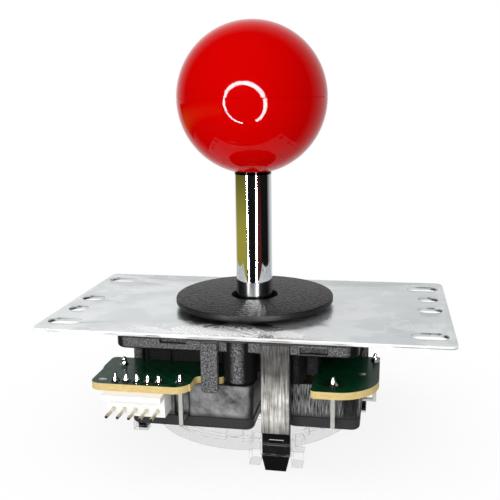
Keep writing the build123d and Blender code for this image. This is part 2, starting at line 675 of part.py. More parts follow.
def lever_blade():
    """Hinged blade: an eye on the pin, a sloping arm and a flat end beside the actuator."""
    half = BLADE_THICK / 2
    arm = plan([
        (hinge_x, hinge_y - half),
        (BLADE_FLAT_FROM, blade_y - half),
        (BLADE_FLAT_TO, blade_y - half),
        (BLADE_FLAT_TO, blade_y + half),
        (BLADE_FLAT_FROM, blade_y + half),
        (hinge_x, hinge_y + half),
    ], blade_low, blade_high)
    arm += rod(hinge_x, hinge_y, blade_low, blade_high, HINGE_EYE_R)
    return arm - rod(hinge_x, hinge_y, blade_low, blade_high, HINGE_PIN_R + HINGE_PLAY)


for side, name in enumerate(SIDES):
    save(f"switch_case_{name}", to_side(switch_case(), side))
    save(f"switch_cover_{name}", to_side(switch_cover(), side))
    save(f"switch_terminals_{name}", to_side(group(terminal_strips()), side))
    save(f"switch_plunger_{name}", to_side(switch_plunger(), side))
    save(f"switch_lever_{name}", to_side(lever_blade(), side))


# Clear restrictor gate: round tray, square opening, frames round the clips, pads under the switches
def clip_frame():
    """Two posts beside the south clip and the bar in front of its stepped part."""
    near = CLIP_X - CLIP_WIDTH / 2 - POST_GAP
    far = CLIP_X + CLIP_WIDTH / 2 + POST_GAP
    shape = block(near - POST_WIDTH, near, -CLIP_FRONT, -POST_BACK, POST_BOTTOM, POST_TOP)
    shape += block(far, far + POST_WIDTH, -CLIP_FRONT, -POST_BACK, POST_BOTTOM, POST_TOP)
    bar_low = FOOT_TOP + BAR_GAP
    bar_back = -CLIP_FRONT + CLIP_STEP - BAR_GAP
    shape += block(near, far, -CLIP_FRONT, bar_back, bar_low, bar_low + BAR_HEIGHT)
    floor_edge = POST_BACK - POST_WIDTH
    shape += block(near - POST_WIDTH, far + POST_WIDTH, -POST_BACK, -floor_edge, GATE_BOTTOM, GATE_TOP)
    return shape


gate = rod(0, 0, GATE_BOTTOM, GATE_TOP, GATE_R)
gate -= rod(0, 0, GATE_BOTTOM + GATE_FLOOR, GATE_TOP, GATE_R - GATE_RIM)
gate += slab(2 * (GATE_HALF + GATE_WALL), 2 * (GATE_HALF + GATE_WALL), GATE_WALL, GATE_BOTTOM, GATE_WALL_TOP)
clip_back = -CLIP_FRONT + CLIP_THICK
for side in range(4):
    gate -= to_side(block(CLIP_X - CLIP_WIDTH / 2 - POST_GAP, CLIP_X + CLIP_WIDTH / 2 + POST_GAP, -CLIP_FRONT,
                          clip_back + POST_GAP, GATE_BOTTOM, GATE_TOP), side)
for side in range(4):
    gate += to_side(clip_frame(), side)
    for x, y in PAD_PLACES:
        gate += to_side(rod(x, y, GATE_BOTTOM, SWITCH_BOTTOM, PAD_R), side)
gate -= slab(2 * GATE_HALF, 2 * GATE_HALF, GATE_WALL, GATE_BOTTOM, GATE_WALL_TOP)
save("restrictor_gate", gate)

blade_arm = -hinge_x
blade_ratio = (PIVOT_Z - BLADE_Z) / blade_arm
blade_swing = degrees(blade_ratio * radians(TILT))
print("blade turns per turn of the lever", round(blade_ratio, 4), "to", round(blade_swing, 2))
print("plunger metres per radian", round(blade_ratio * (PLUNGER_X - hinge_x) / 1000, 6))
print("hinge", round(hinge_x, 3), round(hinge_y, 3), "gate opening", round(2 * GATE_HALF, 2))
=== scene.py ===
"""Arcade joystick lever: red ball on a chromed shaft, steel plate, switch housing and clear gate."""

from math import asin, cos, pi, radians, sin

import bmesh
import bpy
from mathutils import Matrix, Vector


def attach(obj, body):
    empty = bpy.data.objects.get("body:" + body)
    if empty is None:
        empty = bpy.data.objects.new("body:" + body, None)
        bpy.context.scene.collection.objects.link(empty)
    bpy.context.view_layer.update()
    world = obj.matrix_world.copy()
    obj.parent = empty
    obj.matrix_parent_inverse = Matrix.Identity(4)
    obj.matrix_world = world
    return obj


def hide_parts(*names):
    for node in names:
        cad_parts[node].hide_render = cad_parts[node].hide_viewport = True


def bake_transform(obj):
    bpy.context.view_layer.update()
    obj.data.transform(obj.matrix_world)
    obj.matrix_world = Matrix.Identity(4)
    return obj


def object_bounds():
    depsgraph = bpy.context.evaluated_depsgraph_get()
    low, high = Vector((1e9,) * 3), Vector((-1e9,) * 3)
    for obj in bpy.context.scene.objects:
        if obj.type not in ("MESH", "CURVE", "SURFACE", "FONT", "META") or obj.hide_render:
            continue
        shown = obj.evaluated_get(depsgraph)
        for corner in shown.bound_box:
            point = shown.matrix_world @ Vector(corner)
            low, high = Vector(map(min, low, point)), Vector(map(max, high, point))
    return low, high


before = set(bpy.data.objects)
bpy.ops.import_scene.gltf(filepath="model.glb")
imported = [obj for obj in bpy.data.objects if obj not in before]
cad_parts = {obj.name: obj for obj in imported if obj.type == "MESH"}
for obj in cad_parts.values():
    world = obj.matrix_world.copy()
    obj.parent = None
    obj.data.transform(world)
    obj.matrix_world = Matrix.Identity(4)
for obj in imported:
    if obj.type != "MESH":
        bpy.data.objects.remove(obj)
cad_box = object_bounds()


# Main housing. One black moulding of glass-filled nylon, with a flange under the plate, a stepped
# tier, four bosses, four hanging tabs and four long clips that hold the gate. Its outer faces are
# spark textured, with grey specks that are partly painted sheen and a painted highlight band down each
# boss. The feet are smooth, and the clips are scored where they slid in their guides, under a pale
# painted sheen that grows down them.
HOUSING_BLACK = "121213"
HOUSING_SPECK_SHEEN = "969698"
HOUSING_SCORED_SHEEN = "E6E3DD"
SPARK_GRAIN = 0.34
SCORE_PITCH = 0.3
SCORE_LENGTH = 7.0
CLIP_FACE = 28.0
CLIP_PLACE = 9.3
CLIP_WIDTH = 6.2
CLIP_END = -21.4
FACE_SLACK = 0.04
RUB_TOP = -7.5
RUB_FULL = -13.5
END_TOP = -17.5
END_DULL = -21.5
RUB_BLOTCH = 3.5
OUTER_FROM = 25.5
OUTER_FULL = 27.0
SPARK_DEPTH = 0.2
HOUSING_EDGE = 0.25
MM = 0.001


def linear(code):
    """Linear colour of an sRGB hex value."""
    channels = [int(code[i:i + 2], 16) / 255 for i in (0, 2, 4)]
    return [c / 12.92 if c <= 0.04045 else ((c + 0.055) / 1.055) ** 2.4 for c in channels] + [1]


def per_mm(size):
    """Pattern scale, per metre, for a feature of that size in millimetres."""
    return 1 / (size * MM)


def new_material(name):
    """Empty node material."""
    material = bpy.data.materials.new(name)
    material.use_nodes = True
    material.node_tree.nodes.clear()
    return material


def add(tree, kind, values=None, links=None):
    """Add one node with its settings, and link its sockets to outputs of other nodes."""
    node = tree.nodes.new("ShaderNode" + kind)
    for key, value in (values or {}).items():
        if isinstance(key, int) or key in node.inputs:
            node.inputs[key].default_value = value
        else:
            setattr(node, key, value)
    for key, (source, output) in (links or {}).items():
        tree.links.new(source.outputs[output], node.inputs[key])
    return node


def dress(material, *nodes):
    """Give CAD nodes a material."""
    for name in nodes:
        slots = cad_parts[name].data.materials
        slots.clear()
        slots.append(material)


# Glass-filled nylon: near black, with grey spark-grain specks and pale clip scores, both partly painted
# sheen
housing_nylon = new_material("housing_nylon")
tree = housing_nylon.node_tree
place = add(tree, "TexCoord")
axes = add(tree, "SeparateXYZ", links={0: (place, "Object")})
size_x = add(tree, "Math", {"operation": "ABSOLUTE"}, {0: (axes, "X")})
size_y = add(tree, "Math", {"operation": "ABSOLUTE"}, {0: (axes, "Y")})
outward = add(tree, "Math", {"operation": "MAXIMUM"}, {0: (size_x, 0), 1: (size_y, 0)})
sideways = add(tree, "Math", {"operation": "MINIMUM"}, {0: (size_x, 0), 1: (size_y, 0)})
# Clip faces: lengthwise scores on a grey wash that is partly painted sheen, growing paler down the
# clip and dimmer again just above the foot
at_front = add(tree, "Math", {"operation": "COMPARE", 1: CLIP_FACE * MM, 2: FACE_SLACK * MM},
               {0: (outward, 0)})
at_clip = add(tree, "Math", {"operation": "COMPARE", 1: CLIP_PLACE * MM, 2: CLIP_WIDTH / 2 * MM},
              {0: (sideways, 0)})
above_foot = add(tree, "Math", {"operation": "GREATER_THAN", 1: (CLIP_END + FACE_SLACK) * MM},
                 {0: (axes, "Z")})
clip_front = add(tree, "Math", {"operation": "MULTIPLY"}, {0: (at_front, 0), 1: (at_clip, 0)})
clip_face = add(tree, "Math", {"operation": "MULTIPLY"}, {0: (clip_front, 0), 1: (above_foot, 0)})
drawn_out = add(tree, "Mapping", {"Scale": (1, 1, SCORE_PITCH / SCORE_LENGTH)},
                {"Vector": (place, "Object")})
scores = add(tree, "TexNoise", {"Scale": per_mm(SCORE_PITCH), "Detail": 4, "Roughness": 0.7},
             {"Vector": (drawn_out, 0)})
blotch = add(tree, "TexNoise", {"Scale": per_mm(RUB_BLOTCH), "Detail": 3}, {"Vector": (place, "Object")})
scored = add(tree, "MapRange", {"From Min": 0.33, "From Max": 0.67, "To Min": 0.2, "To Max": 1.25},
             {"Value": (scores, "Fac")})
# Painted sheen: paler towards the lower end, then dimmer again just above the foot
lower = add(tree, "MapRange",
            {"From Min": RUB_TOP * MM, "From Max": RUB_FULL * MM, "To Min": 0.23, "To Max": 1.15},
            {"Value": (axes, "Z")})
end = add(tree, "MapRange",
          {"From Min": END_TOP * MM, "From Max": END_DULL * MM, "To Min": 1, "To Max": 0.3},
          {"Value": (axes, "Z")})
wear_and_sheen = add(tree, "Math", {"operation": "MULTIPLY"}, {0: (lower, 0), 1: (end, 0)})
uneven = add(tree, "MapRange", {"From Min": 0.3, "From Max": 0.7, "To Min": 0.45, "To Max": 1.2},
             {"Value": (blotch, "Fac")})
worn_scores = add(tree, "Math", {"operation": "MULTIPLY"}, {0: (scored, 0), 1: (wear_and_sheen, 0)})
scores_and_sheen = add(tree, "Math", {"operation": "MULTIPLY", "use_clamp": True},
                {0: (worn_scores, 0), 1: (uneven, 0)})
clip_scores_and_sheen = add(tree, "Math", {"operation": "MULTIPLY"}, {0: (scores_and_sheen, 0), 1: (clip_face, 0)})
# Spark grain: grey specks, partly painted sheen, on flat faces that look squarely sideways and fewer
# on faces set back, with a painted highlight band down the front of each boss; none on clips and feet
softened = add(tree, "Bevel", {"Radius": HOUSING_EDGE * MM, "samples": 6})
normal = add(tree, "SeparateXYZ", links={0: (softened, 0)})
turn_x = add(tree, "Math", {"operation": "ABSOLUTE"}, {0: (normal, "X")})
turn_y = add(tree, "Math", {"operation": "ABSOLUTE"}, {0: (normal, "Y")})
straight = add(tree, "Math", {"operation": "MAXIMUM"}, {0: (turn_x, 0), 1: (turn_y, 0)})
# Painted highlight: faces and boss fronts that look straight out along X or Y get the specks
sheen_band = add(tree, "MapRange", {"From Min": 0.9, "To Min": 0.15}, {"Value": (straight, 0)})
sideways_sheen = add(tree, "Math", {"operation": "POWER", 1: 2}, {0: (sheen_band, 0)})
scored_sheen = add(tree, "Math", {"operation": "MULTIPLY"}, {0: (clip_scores_and_sheen, 0), 1: (sideways_sheen, 0)})
off_both = add(tree, "Math", {"operation": "MULTIPLY"}, {0: (sideways_sheen, 0), 1: (above_foot, 0)})
off_clip = add(tree, "Math", {"operation": "SUBTRACT", "use_clamp": True},
               {0: (off_both, 0), 1: (clip_face, 0)})
outer = add(tree, "MapRange", {"From Min": OUTER_FROM * MM, "From Max": OUTER_FULL * MM, "To Min": 0.12},
            {"Value": (outward, 0)})
spark_and_sheen = add(tree, "Math", {"operation": "MULTIPLY"}, {0: (off_clip, 0), 1: (outer, 0)})
grain = add(tree, "TexNoise", {"Scale": per_mm(SPARK_GRAIN), "Detail": 2, "Roughness": 0.6},
            {"Vector": (place, "Object")})
specks = add(tree, "MapRange", {"From Min": 0.42, "From Max": 0.7, "To Min": 0.16},
             {"Value": (grain, "Fac")})
# Painted sheen: the grey specks are kept to faces turned squarely sideways at the outside
speck = add(tree, "Math", {"operation": "MULTIPLY"}, {0: (specks, 0), 1: (spark_and_sheen, 0)})
black = add(tree, "Mix", {"data_type": "RGBA", 6: linear(HOUSING_BLACK), 7: linear(HOUSING_SPECK_SHEEN)},
            {0: (speck, 0)})
# Painted sheen: the pale wash over the clip scores
colour = add(tree, "Mix", {"data_type": "RGBA", 7: linear(HOUSING_SCORED_SHEEN)},
             {0: (scored_sheen, 0), 6: (black, 2)})
height = add(tree, "Mix", {"data_type": "FLOAT"}, {0: (clip_face, 0), 2: (speck, 0), 3: (scores, "Fac")})
bump = add(tree, "Bump", {"Strength": 0.6, "Distance": SPARK_DEPTH * MM},
           {"Height": (height, 0), "Normal": (softened, 0)})
gloss = add(tree, "MapRange", {"To Min": 0.34, "To Max": 0.58}, {"Value": (spark_and_sheen, 0)})
shader = add(tree, "BsdfPrincipled", {"IOR": 1.53, "Specular IOR Level": 0.25},
             {"Base Color": (colour, 2), "Roughness": (gloss, 0), "Normal": (bump, 0)})
add(tree, "OutputMaterial", links={"Surface": (shader, 0)})
dress(housing_nylon, "main_housing")


# Pivot, spring seat and actuator. Natural nylon turnings and mouldings on the spindle: a ball that
# swivels in the housing's cup, a seat for the spring, and a barrel that pushes the switch levers.
NYLON_PALE = "E4E2D8"
NYLON_SHADE = "D2CFC2"
NYLON_CLOUD = 3.0
NYLON_EDGE = 0.2
NYLON_GLOW = 2.0

# Natural nylon: milky cream, faintly clouded, with a soft glow inside
natural_nylon = new_material("natural_nylon")
tree = natural_nylon.node_tree
place = add(tree, "TexCoord")
cloud = add(tree, "TexNoise", {"Scale": per_mm(NYLON_CLOUD), "Detail": 2}, {"Vector": (place, "Object")})
colour = add(tree, "Mix", {"data_type": "RGBA", 6: linear(NYLON_PALE), 7: linear(NYLON_SHADE)},
             {0: (cloud, "Fac")})
softened = add(tree, "Bevel", {"Radius": NYLON_EDGE * MM, "samples": 6})
shader = add(tree, "BsdfPrincipled", {"IOR": 1.53, "Roughness": 0.38, "Subsurface Weight": 0.1,
                                      "Subsurface Radius": [NYLON_GLOW * MM] * 3},
             {"Base Color": (colour, 2), "Normal": (softened, 0)})
add(tree, "OutputMaterial", links={"Surface": (shader, 0)})
dress(natural_nylon, "pivot", "spring_seat", "actuator")


# Return spring, retaining ring and switch levers. Bright hardened steel wire and strip, drawn and
# stamped. The spring brings the lever back upright: it is wound between the housing's ceiling and the
# seat, and is built as an upper and a lower half.
STEEL_BRIGHT = "C4C5C6"
DRAW_LINE = 0.2
SPRING_R = 9.3
SPRING_WIRE = 1.0
SPRING_TURNS = 4.5
SPRING_LOW = -11.25
SPRING_HIGH = -4.35
SPRING_STEPS = 60
WIRE_SIDES = 12
MERGE = 0.0005
SHARP = 38
SIDES = ("south", "east", "north", "west")

# Bright steel: cool grey metal whose gloss is broken by drawing lines, coarser than real so as to show
bright_steel = new_material("bright_steel")
tree = bright_steel.node_tree
place = add(tree, "TexCoord")
lines = add(tree, "TexNoise", {"Scale": per_mm(DRAW_LINE), "Detail": 2}, {"Vector": (place, "Object")})
gloss = add(tree, "MapRange", {"To Min": 0.18, "To Max": 0.34}, {"Value": (lines, "Fac")})
shader = add(tree, "BsdfPrincipled", {"Base Color": linear(STEEL_BRIGHT), "Metallic": 1},
             {"Roughness": (gloss, 0)})
add(tree, "OutputMaterial", links={"Surface": (shader, 0)})
dress(bright_steel, "retaining_ring", *(f"switch_lever_{side}" for side in SIDES))


def finished(shape, name, material, body, *nodes):
    """Make an object of a mesh in millimetres. It rides on a body, if any, and stands for CAD nodes."""
    bmesh.ops.remove_doubles(shape, verts=shape.verts, dist=MERGE)
    bmesh.ops.recalc_face_normals(shape, faces=shape.faces)
    bmesh.ops.scale(shape, vec=(MM, MM, MM), verts=shape.verts)
    mesh = bpy.data.meshes.new(name)
    shape.to_mesh(mesh)
    shape.free()
    mesh.polygons.foreach_set("use_smooth", [True] * len(mesh.polygons))
    mesh.set_sharp_from_angle(angle=radians(SHARP))
    mesh.materials.append(material)
    piece = bpy.data.objects.new(name, mesh)
    bpy.context.scene.collection.objects.link(piece)
    if body:
        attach(piece, body)
    if nodes:
        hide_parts(*nodes)
    return piece


spring_middle = (SPRING_LOW + SPRING_HIGH) / 2
half_turns = SPRING_TURNS * pi
for name, low, turned, bodies in (
        ("return_spring_lower", SPRING_LOW, 0, ("tilting", "spring")),
        ("return_spring_upper", spring_middle, half_turns, ("spring", "base"))):
    coil = bmesh.new()
    wire = bmesh.ops.create_circle(coil, segments=WIRE_SIDES, radius=SPRING_WIRE / 2)["verts"]
    bmesh.ops.rotate(coil, verts=wire, cent=(0, 0, 0), matrix=Matrix.Rotation(radians(90), 3, "X"))
    bmesh.ops.translate(coil, vec=(SPRING_R, 0, low), verts=wire)
    bmesh.ops.rotate(coil, verts=wire, cent=(0, 0, 0), matrix=Matrix.Rotation(turned, 3, "Z"))
    bmesh.ops.spin(coil, geom=coil.verts[:] + coil.edges[:], axis=(0, 0, 1), cent=(0, 0, 0),
                   angle=half_turns, steps=SPRING_STEPS,
                   dvec=(0, 0, (spring_middle - SPRING_LOW) / SPRING_STEPS))
    bmesh.ops.holes_fill(coil, edges=coil.edges)
    half_spring = finished(coil, name, bright_steel, None, "return_spring")
    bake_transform(half_spring)


# Microswitches. Black PBT cases with a separate lower cover, snapped together along a seam and set
# round the actuator like a pinwheel. The moulding is smooth and scuffed, under a pale painted sheen.
SWITCH_BLACK = "151516"
SWITCH_SCUFF_SHEEN = "C4C4C6"
COVER_GREY = "3A3A3C"
SCUFF_PATCH = 3.2
SCUFF_LINE = 0.3
SEAM_Z = -18.8
SEAM_FADE = 1.2
SLID_FROM = 4.0
SLID_FULL = 9.0
SWITCH_GRAIN = 0.5
SWITCH_DEPTH = 0.1
SWITCH_EDGE = 0.3

# Black PBT: satin black under a pale haze of scuffs and painted sheen, greyer on the covers
switch_plastic = new_material("switch_plastic")
tree = switch_plastic.node_tree
place = add(tree, "TexCoord")
axes = add(tree, "SeparateXYZ", links={0: (place, "Object")})
stretch = add(tree, "Mapping", {"Scale": (1, 1, 0.1)}, {"Vector": (place, "Object")})
lines = add(tree, "TexNoise", {"Scale": per_mm(SCUFF_LINE), "Detail": 2, "Roughness": 0.6},
            {"Vector": (stretch, 0)})
patches = add(tree, "TexNoise", {"Scale": per_mm(SCUFF_PATCH), "Detail": 8, "Roughness": 0.64},
              {"Vector": (place, "Object")})
patch = add(tree, "MapRange", {"From Min": 0.26, "From Max": 0.9}, {"Value": (patches, "Fac")})
line = add(tree, "MapRange", {"From Min": 0.38, "From Max": 0.7, "To Max": 0.65},
           {"Value": (lines, "Fac")})
# The cases on the right were slid in from above, which left lines, and the others were rubbed; both
# marks are partly painted sheen
slid = add(tree, "MapRange", {"From Min": SLID_FROM * MM, "From Max": SLID_FULL * MM},
           {"Value": (axes, "X")})
rubbed = add(tree, "Mix", {"data_type": "FLOAT"}, {0: (slid, 0), 2: (patch, 0), 3: (line, 0)})
on_case = add(tree, "MapRange", {"From Min": SEAM_Z * MM, "From Max": (SEAM_Z + SEAM_FADE) * MM},
              {"Value": (axes, "Z")})
# Painted sheen: only faces turned away from the lever get the pale marks, so end faces stay dark
softened = add(tree, "Bevel", {"Radius": SWITCH_EDGE * MM, "samples": 6})
normal = add(tree, "SeparateXYZ", links={0: (softened, 0)})
turn_x = add(tree, "Math", {"operation": "ABSOLUTE"}, {0: (normal, "X")})
turn_y = add(tree, "Math", {"operation": "ABSOLUTE"}, {0: (normal, "Y")})
size_x = add(tree, "Math", {"operation": "ABSOLUTE"}, {0: (axes, "X")})
size_y = add(tree, "Math", {"operation": "ABSOLUTE"}, {0: (axes, "Y")})
along_y = add(tree, "Math", {"operation": "GREATER_THAN"}, {0: (size_y, 0), 1: (size_x, 0)})
turn_out = add(tree, "Mix", {"data_type": "FLOAT"}, {0: (along_y, 0), 2: (turn_x, 0), 3: (turn_y, 0)})
outward_sheen = add(tree, "MapRange", {"From Min": 0.7, "To Min": 0.12}, {"Value": (turn_out, 0)})
case_scuff_sheen = add(tree, "Math", {"operation": "MULTIPLY"}, {0: (rubbed, 0), 1: (on_case, 0)})
scuff_and_sheen = add(tree, "Math", {"operation": "MULTIPLY"}, {0: (case_scuff_sheen, 0), 1: (outward_sheen, 0)})
black = add(tree, "Mix", {"data_type": "RGBA", 6: linear(COVER_GREY), 7: linear(SWITCH_BLACK)},
            {0: (on_case, 0)})
# Painted sheen: the pale scuff colour laid over the black
colour = add(tree, "Mix", {"data_type": "RGBA", 7: linear(SWITCH_SCUFF_SHEEN)}, {0: (scuff_and_sheen, 0), 6: (black, 2)})
fine = add(tree, "TexNoise", {"Scale": per_mm(SWITCH_GRAIN), "Detail": 2}, {"Vector": (place, "Object")})
bump = add(tree, "Bump", {"Strength": 0.5, "Distance": SWITCH_DEPTH * MM},
           {"Height": (fine, "Fac"), "Normal": (softened, 0)})
gloss = add(tree, "MapRange", {"To Min": 0.36, "To Max": 0.6}, {"Value": (patches, "Fac")})
shader = add(tree, "BsdfPrincipled", {"IOR": 1.56, "Specular IOR Level": 0.35},
             {"Base Color": (colour, 2), "Roughness": (gloss, 0), "Normal": (bump, 0)})
add(tree, "OutputMaterial", links={"Surface": (shader, 0)})
dress(switch_plastic, *(f"switch_{piece}_{side}" for piece in ("case", "cover") for side in SIDES))


# Switch plungers. Small moulded pins of red phenolic with a round nose. Each slides in its switch's
# case and is pressed in by the lever above it.
PLUNGER_RED = "8E1A14"
PLUNGER_CLOUD = 0.5

# Red phenolic: dark red with an even, waxy gloss
plunger_plastic = new_material("plunger_plastic")
tree = plunger_plastic.node_tree
place = add(tree, "TexCoord")
cloud = add(tree, "TexNoise", {"Scale": per_mm(PLUNGER_CLOUD), "Detail": 2},
            {"Vector": (place, "Object")})
gloss = add(tree, "MapRange", {"To Min": 0.25, "To Max": 0.4}, {"Value": (cloud, "Fac")})
shader = add(tree, "BsdfPrincipled", {"Base Color": linear(PLUNGER_RED), "IOR": 1.55},
             {"Roughness": (gloss, 0)})
add(tree, "OutputMaterial", links={"Surface": (shader, 0)})
dress(plunger_plastic, *(f"switch_plunger_{side}" for side in SIDES))


# Switch terminals. Tinned brass strip, stamped and bent, that comes out of each switch's case. The
# ends stand up through the board and are soldered there, which also holds the board.
TIN_BRIGHT = "DCDBD6"
TIN_DULL = "B9B7AF"
TIN_STAIN = 1.2
TERMINAL_EDGE = 0.15

# Tinned brass: pale silver, stained duller in places
tinned_strip = new_material("tinned_strip")
tree = tinned_strip.node_tree
place = add(tree, "TexCoord")
stain = add(tree, "TexNoise", {"Scale": per_mm(TIN_STAIN), "Detail": 3}, {"Vector": (place, "Object")})
colour = add(tree, "Mix", {"data_type": "RGBA", 6: linear(TIN_BRIGHT), 7: linear(TIN_DULL)},
             {0: (stain, "Fac")})
softened = add(tree, "Bevel", {"Radius": TERMINAL_EDGE * MM, "samples": 6})
shader = add(tree, "BsdfPrincipled", {"Metallic": 1, "Roughness": 0.28},
             {"Base Color": (colour, 2), "Normal": (softened, 0)})
add(tree, "OutputMaterial", links={"Surface": (shader, 0)})
dress(tinned_strip, *(f"switch_terminals_{side}" for side in SIDES))


# Circuit board. Paper laminate, punched to shape, with a dark green solder mask on its faces and
# the tan core showing all round its edge. Copper tracks show as faint lines under the mask, and one
# joint is ringed with burnt flux.
MASK_GREEN = "082E1B"
TRACK_GREEN = "0C4427"
LAMINATE_TAN = "E8D398"
LAMINATE_BROWN = "BC9F62"
TRACK_CELL = 8.8
FIBRE = 0.25
FLUX_BROWN = "170B05"
FLUX_PLACE = (21.7, -27.1, -9.5)
FLUX_R = 3.0

# Laminate: glossy green faces with faint tracks, and a dull tan edge with fibres
board_laminate = new_material("board_laminate")
tree = board_laminate.node_tree
place = add(tree, "TexCoord")
facing = add(tree, "NewGeometry")
normal = add(tree, "SeparateXYZ", links={0: (facing, "Normal")})
upright = add(tree, "Math", {"operation": "ABSOLUTE"}, {0: (normal, "Z")})
masked = add(tree, "Math", {"operation": "GREATER_THAN", 1: 0.6}, {0: (upright, 0)})
turned = add(tree, "Mapping", {"Rotation": (0, 0, radians(45))}, {"Vector": (place, "Object")})
tracks = add(tree, "TexBrick", {"Scale": per_mm(TRACK_CELL), "Mortar Size": 0.02, "Mortar Smooth": 0.2,
                                "Color1": (0, 0, 0, 1), "Color2": (0.25, 0.25, 0.25, 1),
                                "Mortar": (1, 1, 1, 1)}, {"Vector": (turned, 0)})
green = add(tree, "Mix", {"data_type": "RGBA", 6: linear(MASK_GREEN), 7: linear(TRACK_GREEN)},
            {0: (tracks, "Color")})
layers = add(tree, "Mapping", {"Scale": (0.15, 0.15, 1)}, {"Vector": (place, "Object")})
fibre = add(tree, "TexNoise", {"Scale": per_mm(FIBRE), "Detail": 4}, {"Vector": (layers, 0)})
tan = add(tree, "Mix", {"data_type": "RGBA", 6: linear(LAMINATE_TAN), 7: linear(LAMINATE_BROWN)},
          {0: (fibre, "Fac")})
from_joint = add(tree, "VectorMath", {"operation": "DISTANCE", 1: [c * MM for c in FLUX_PLACE]},
                 {0: (place, "Object")})
flux = add(tree, "MapRange", {"From Min": FLUX_R * MM, "From Max": FLUX_R / 2 * MM, "To Max": 0.75},
           {"Value": (from_joint, "Value")})
face = add(tree, "Mix", {"data_type": "RGBA", 7: linear(FLUX_BROWN)}, {0: (flux, 0), 6: (green, 2)})
colour = add(tree, "Mix", {"data_type": "RGBA"}, {0: (masked, 0), 6: (tan, 2), 7: (face, 2)})
gloss = add(tree, "MapRange", {"To Min": 0.75, "To Max": 0.22}, {"Value": (masked, 0)})
shader = add(tree, "BsdfPrincipled", {"IOR": 1.5, "Specular IOR Level": 0.25},
             {"Base Color": (colour, 2), "Roughness": (gloss, 0)})
add(tree, "OutputMaterial", links={"Surface": (shader, 0)})
dress(board_laminate, "circuit_board")


# Wiring header. A white nylon housing under the board, with five gold-flashed square pins bent
# through it and out to the front for the plug.
HEADER_WHITE = "FAFAF8"
PIN_GOLD = "DDD3BA"
PIN_COUNT = 5
PIN_PITCH = 2.5
PIN_FIRST_X = -25.6
PIN_ROW_Y = -31.6
PIN_TIP_Y = -38.0
PIN_Z = -15.3
PIN_TOP = -8.6
PIN_SIZE = 0.64
PIN_EDGE = 0.17
PIN_STAIN = 0.8
HEADER_CLOUD = 2.0
HEADER_EDGE = 0.2

# White nylon: clean white with a slightly uneven satin gloss
header_nylon = new_material("header_nylon")
tree = header_nylon.node_tree
place = add(tree, "TexCoord")
cloud = add(tree, "TexNoise", {"Scale": per_mm(HEADER_CLOUD), "Detail": 2},
            {"Vector": (place, "Object")})
gloss = add(tree, "MapRange", {"To Min": 0.3, "To Max": 0.42}, {"Value": (cloud, "Fac")})
softened = add(tree, "Bevel", {"Radius": HEADER_EDGE * MM, "samples": 6})
shader = add(tree, "BsdfPrincipled", {"Base Color": linear(HEADER_WHITE), "IOR": 1.53},
             {"Roughness": (gloss, 0), "Normal": (softened, 0)})
add(tree, "OutputMaterial", links={"Surface": (shader, 0)})
dress(header_nylon, "header_housing")

# Gold flash: pale gold metal, duller where it is stained
gold_wire = new_material("gold_wire")
tree = gold_wire.node_tree
place = add(tree, "TexCoord")
stain = add(tree, "TexNoise", {"Scale": per_mm(PIN_STAIN), "Detail": 2}, {"Vector": (place, "Object")})
gloss = add(tree, "MapRange", {"To Min": 0.22, "To Max": 0.4}, {"Value": (stain, "Fac")})
shader = add(tree, "BsdfPrincipled", {"Base Color": linear(PIN_GOLD), "Metallic": 1},
             {"Roughness": (gloss, 0)})
add(tree, "OutputMaterial", links={"Surface": (shader, 0)})


def bar(shape, low, high, edge):
    """Square-cut bar between two corners, with its edges broken."""
    verts = bmesh.ops.create_cube(shape, size=1)["verts"]
    size = [b - a for a, b in zip(low, high)]
    bmesh.ops.scale(shape, vec=size, verts=verts)
    bmesh.ops.translate(shape, vec=[(a + b) / 2 for a, b in zip(low, high)], verts=verts)
    edges = list({e for v in verts for e in v.link_edges})
    bmesh.ops.bevel(shape, geom=edges, offset=edge, affect="EDGES", segments=2, profile=0.5, material=-1)


pins = bmesh.new()
half = PIN_SIZE / 2
for number in range(PIN_COUNT):
    x = PIN_FIRST_X + PIN_PITCH * number
    left, right, back = x - half, x + half, PIN_ROW_Y + half
    bar(pins, (left, PIN_TIP_Y, PIN_Z - half), (right, back, PIN_Z + half), PIN_EDGE)
    bar(pins, (left, PIN_ROW_Y - half, PIN_Z - half), (right, back, PIN_TOP), PIN_EDGE)
header_pins = finished(pins, "header_pins_flashed", gold_wire, "base", "header_pins")


# Solder joints. Bright tin fillets that run up each pin from its pad and end in a small round tip. One
# took too much solder and carries a ball.
SOLDER_BRIGHT = "B4B4B1"
BOARD_TOP = -9.5
TERMINAL_PLACES = ((-11.2, -30.3), (-27.1, -21.7))
FILLET = ((1.1, 0), (1.06, 0.06), (0.92, 0.2), (0.72, 0.48), (0.57, 0.86), (0.46, 1.24), (0.36, 1.58),
          (0.22, 1.82), (0, 1.92))
BLOB_R = 0.7
BLOB_RINGS = 12
SOLDER_SIDES = 20
SOLDER_RIPPLE = 0.7
RIPPLE_DEPTH = 0.15
PAD_PROFILE = ((0, 0.04), (0.38, 0.04), (0.5, 0))
PADS = (("test_pad", "solder", -28.6, -31.2, 1.9, 1.3), ("gilt_pad", "gold", 27.6, -19.9, 1.7, 1.5),
        ("via_back", "solder", 17.9, -19.3, 0.6, 0.6), ("via_front", "solder", 18.7, -24.8, 0.5, 0.5))

# Solder: mirror-bright grey with ripples from its cooling
bright_solder = new_material("bright_solder")
tree = bright_solder.node_tree
place = add(tree, "TexCoord")
ripple = add(tree, "TexNoise", {"Scale": per_mm(SOLDER_RIPPLE), "Detail": 2},
             {"Vector": (place, "Object")})
bump = add(tree, "Bump", {"Strength": 0.6, "Distance": RIPPLE_DEPTH * MM}, {"Height": (ripple, "Fac")})
shader = add(tree, "BsdfPrincipled",
             {"Base Color": linear(SOLDER_BRIGHT), "Metallic": 1, "Roughness": 0.12},
             {"Normal": (bump, 0)})
add(tree, "OutputMaterial", links={"Surface": (shader, 0)})


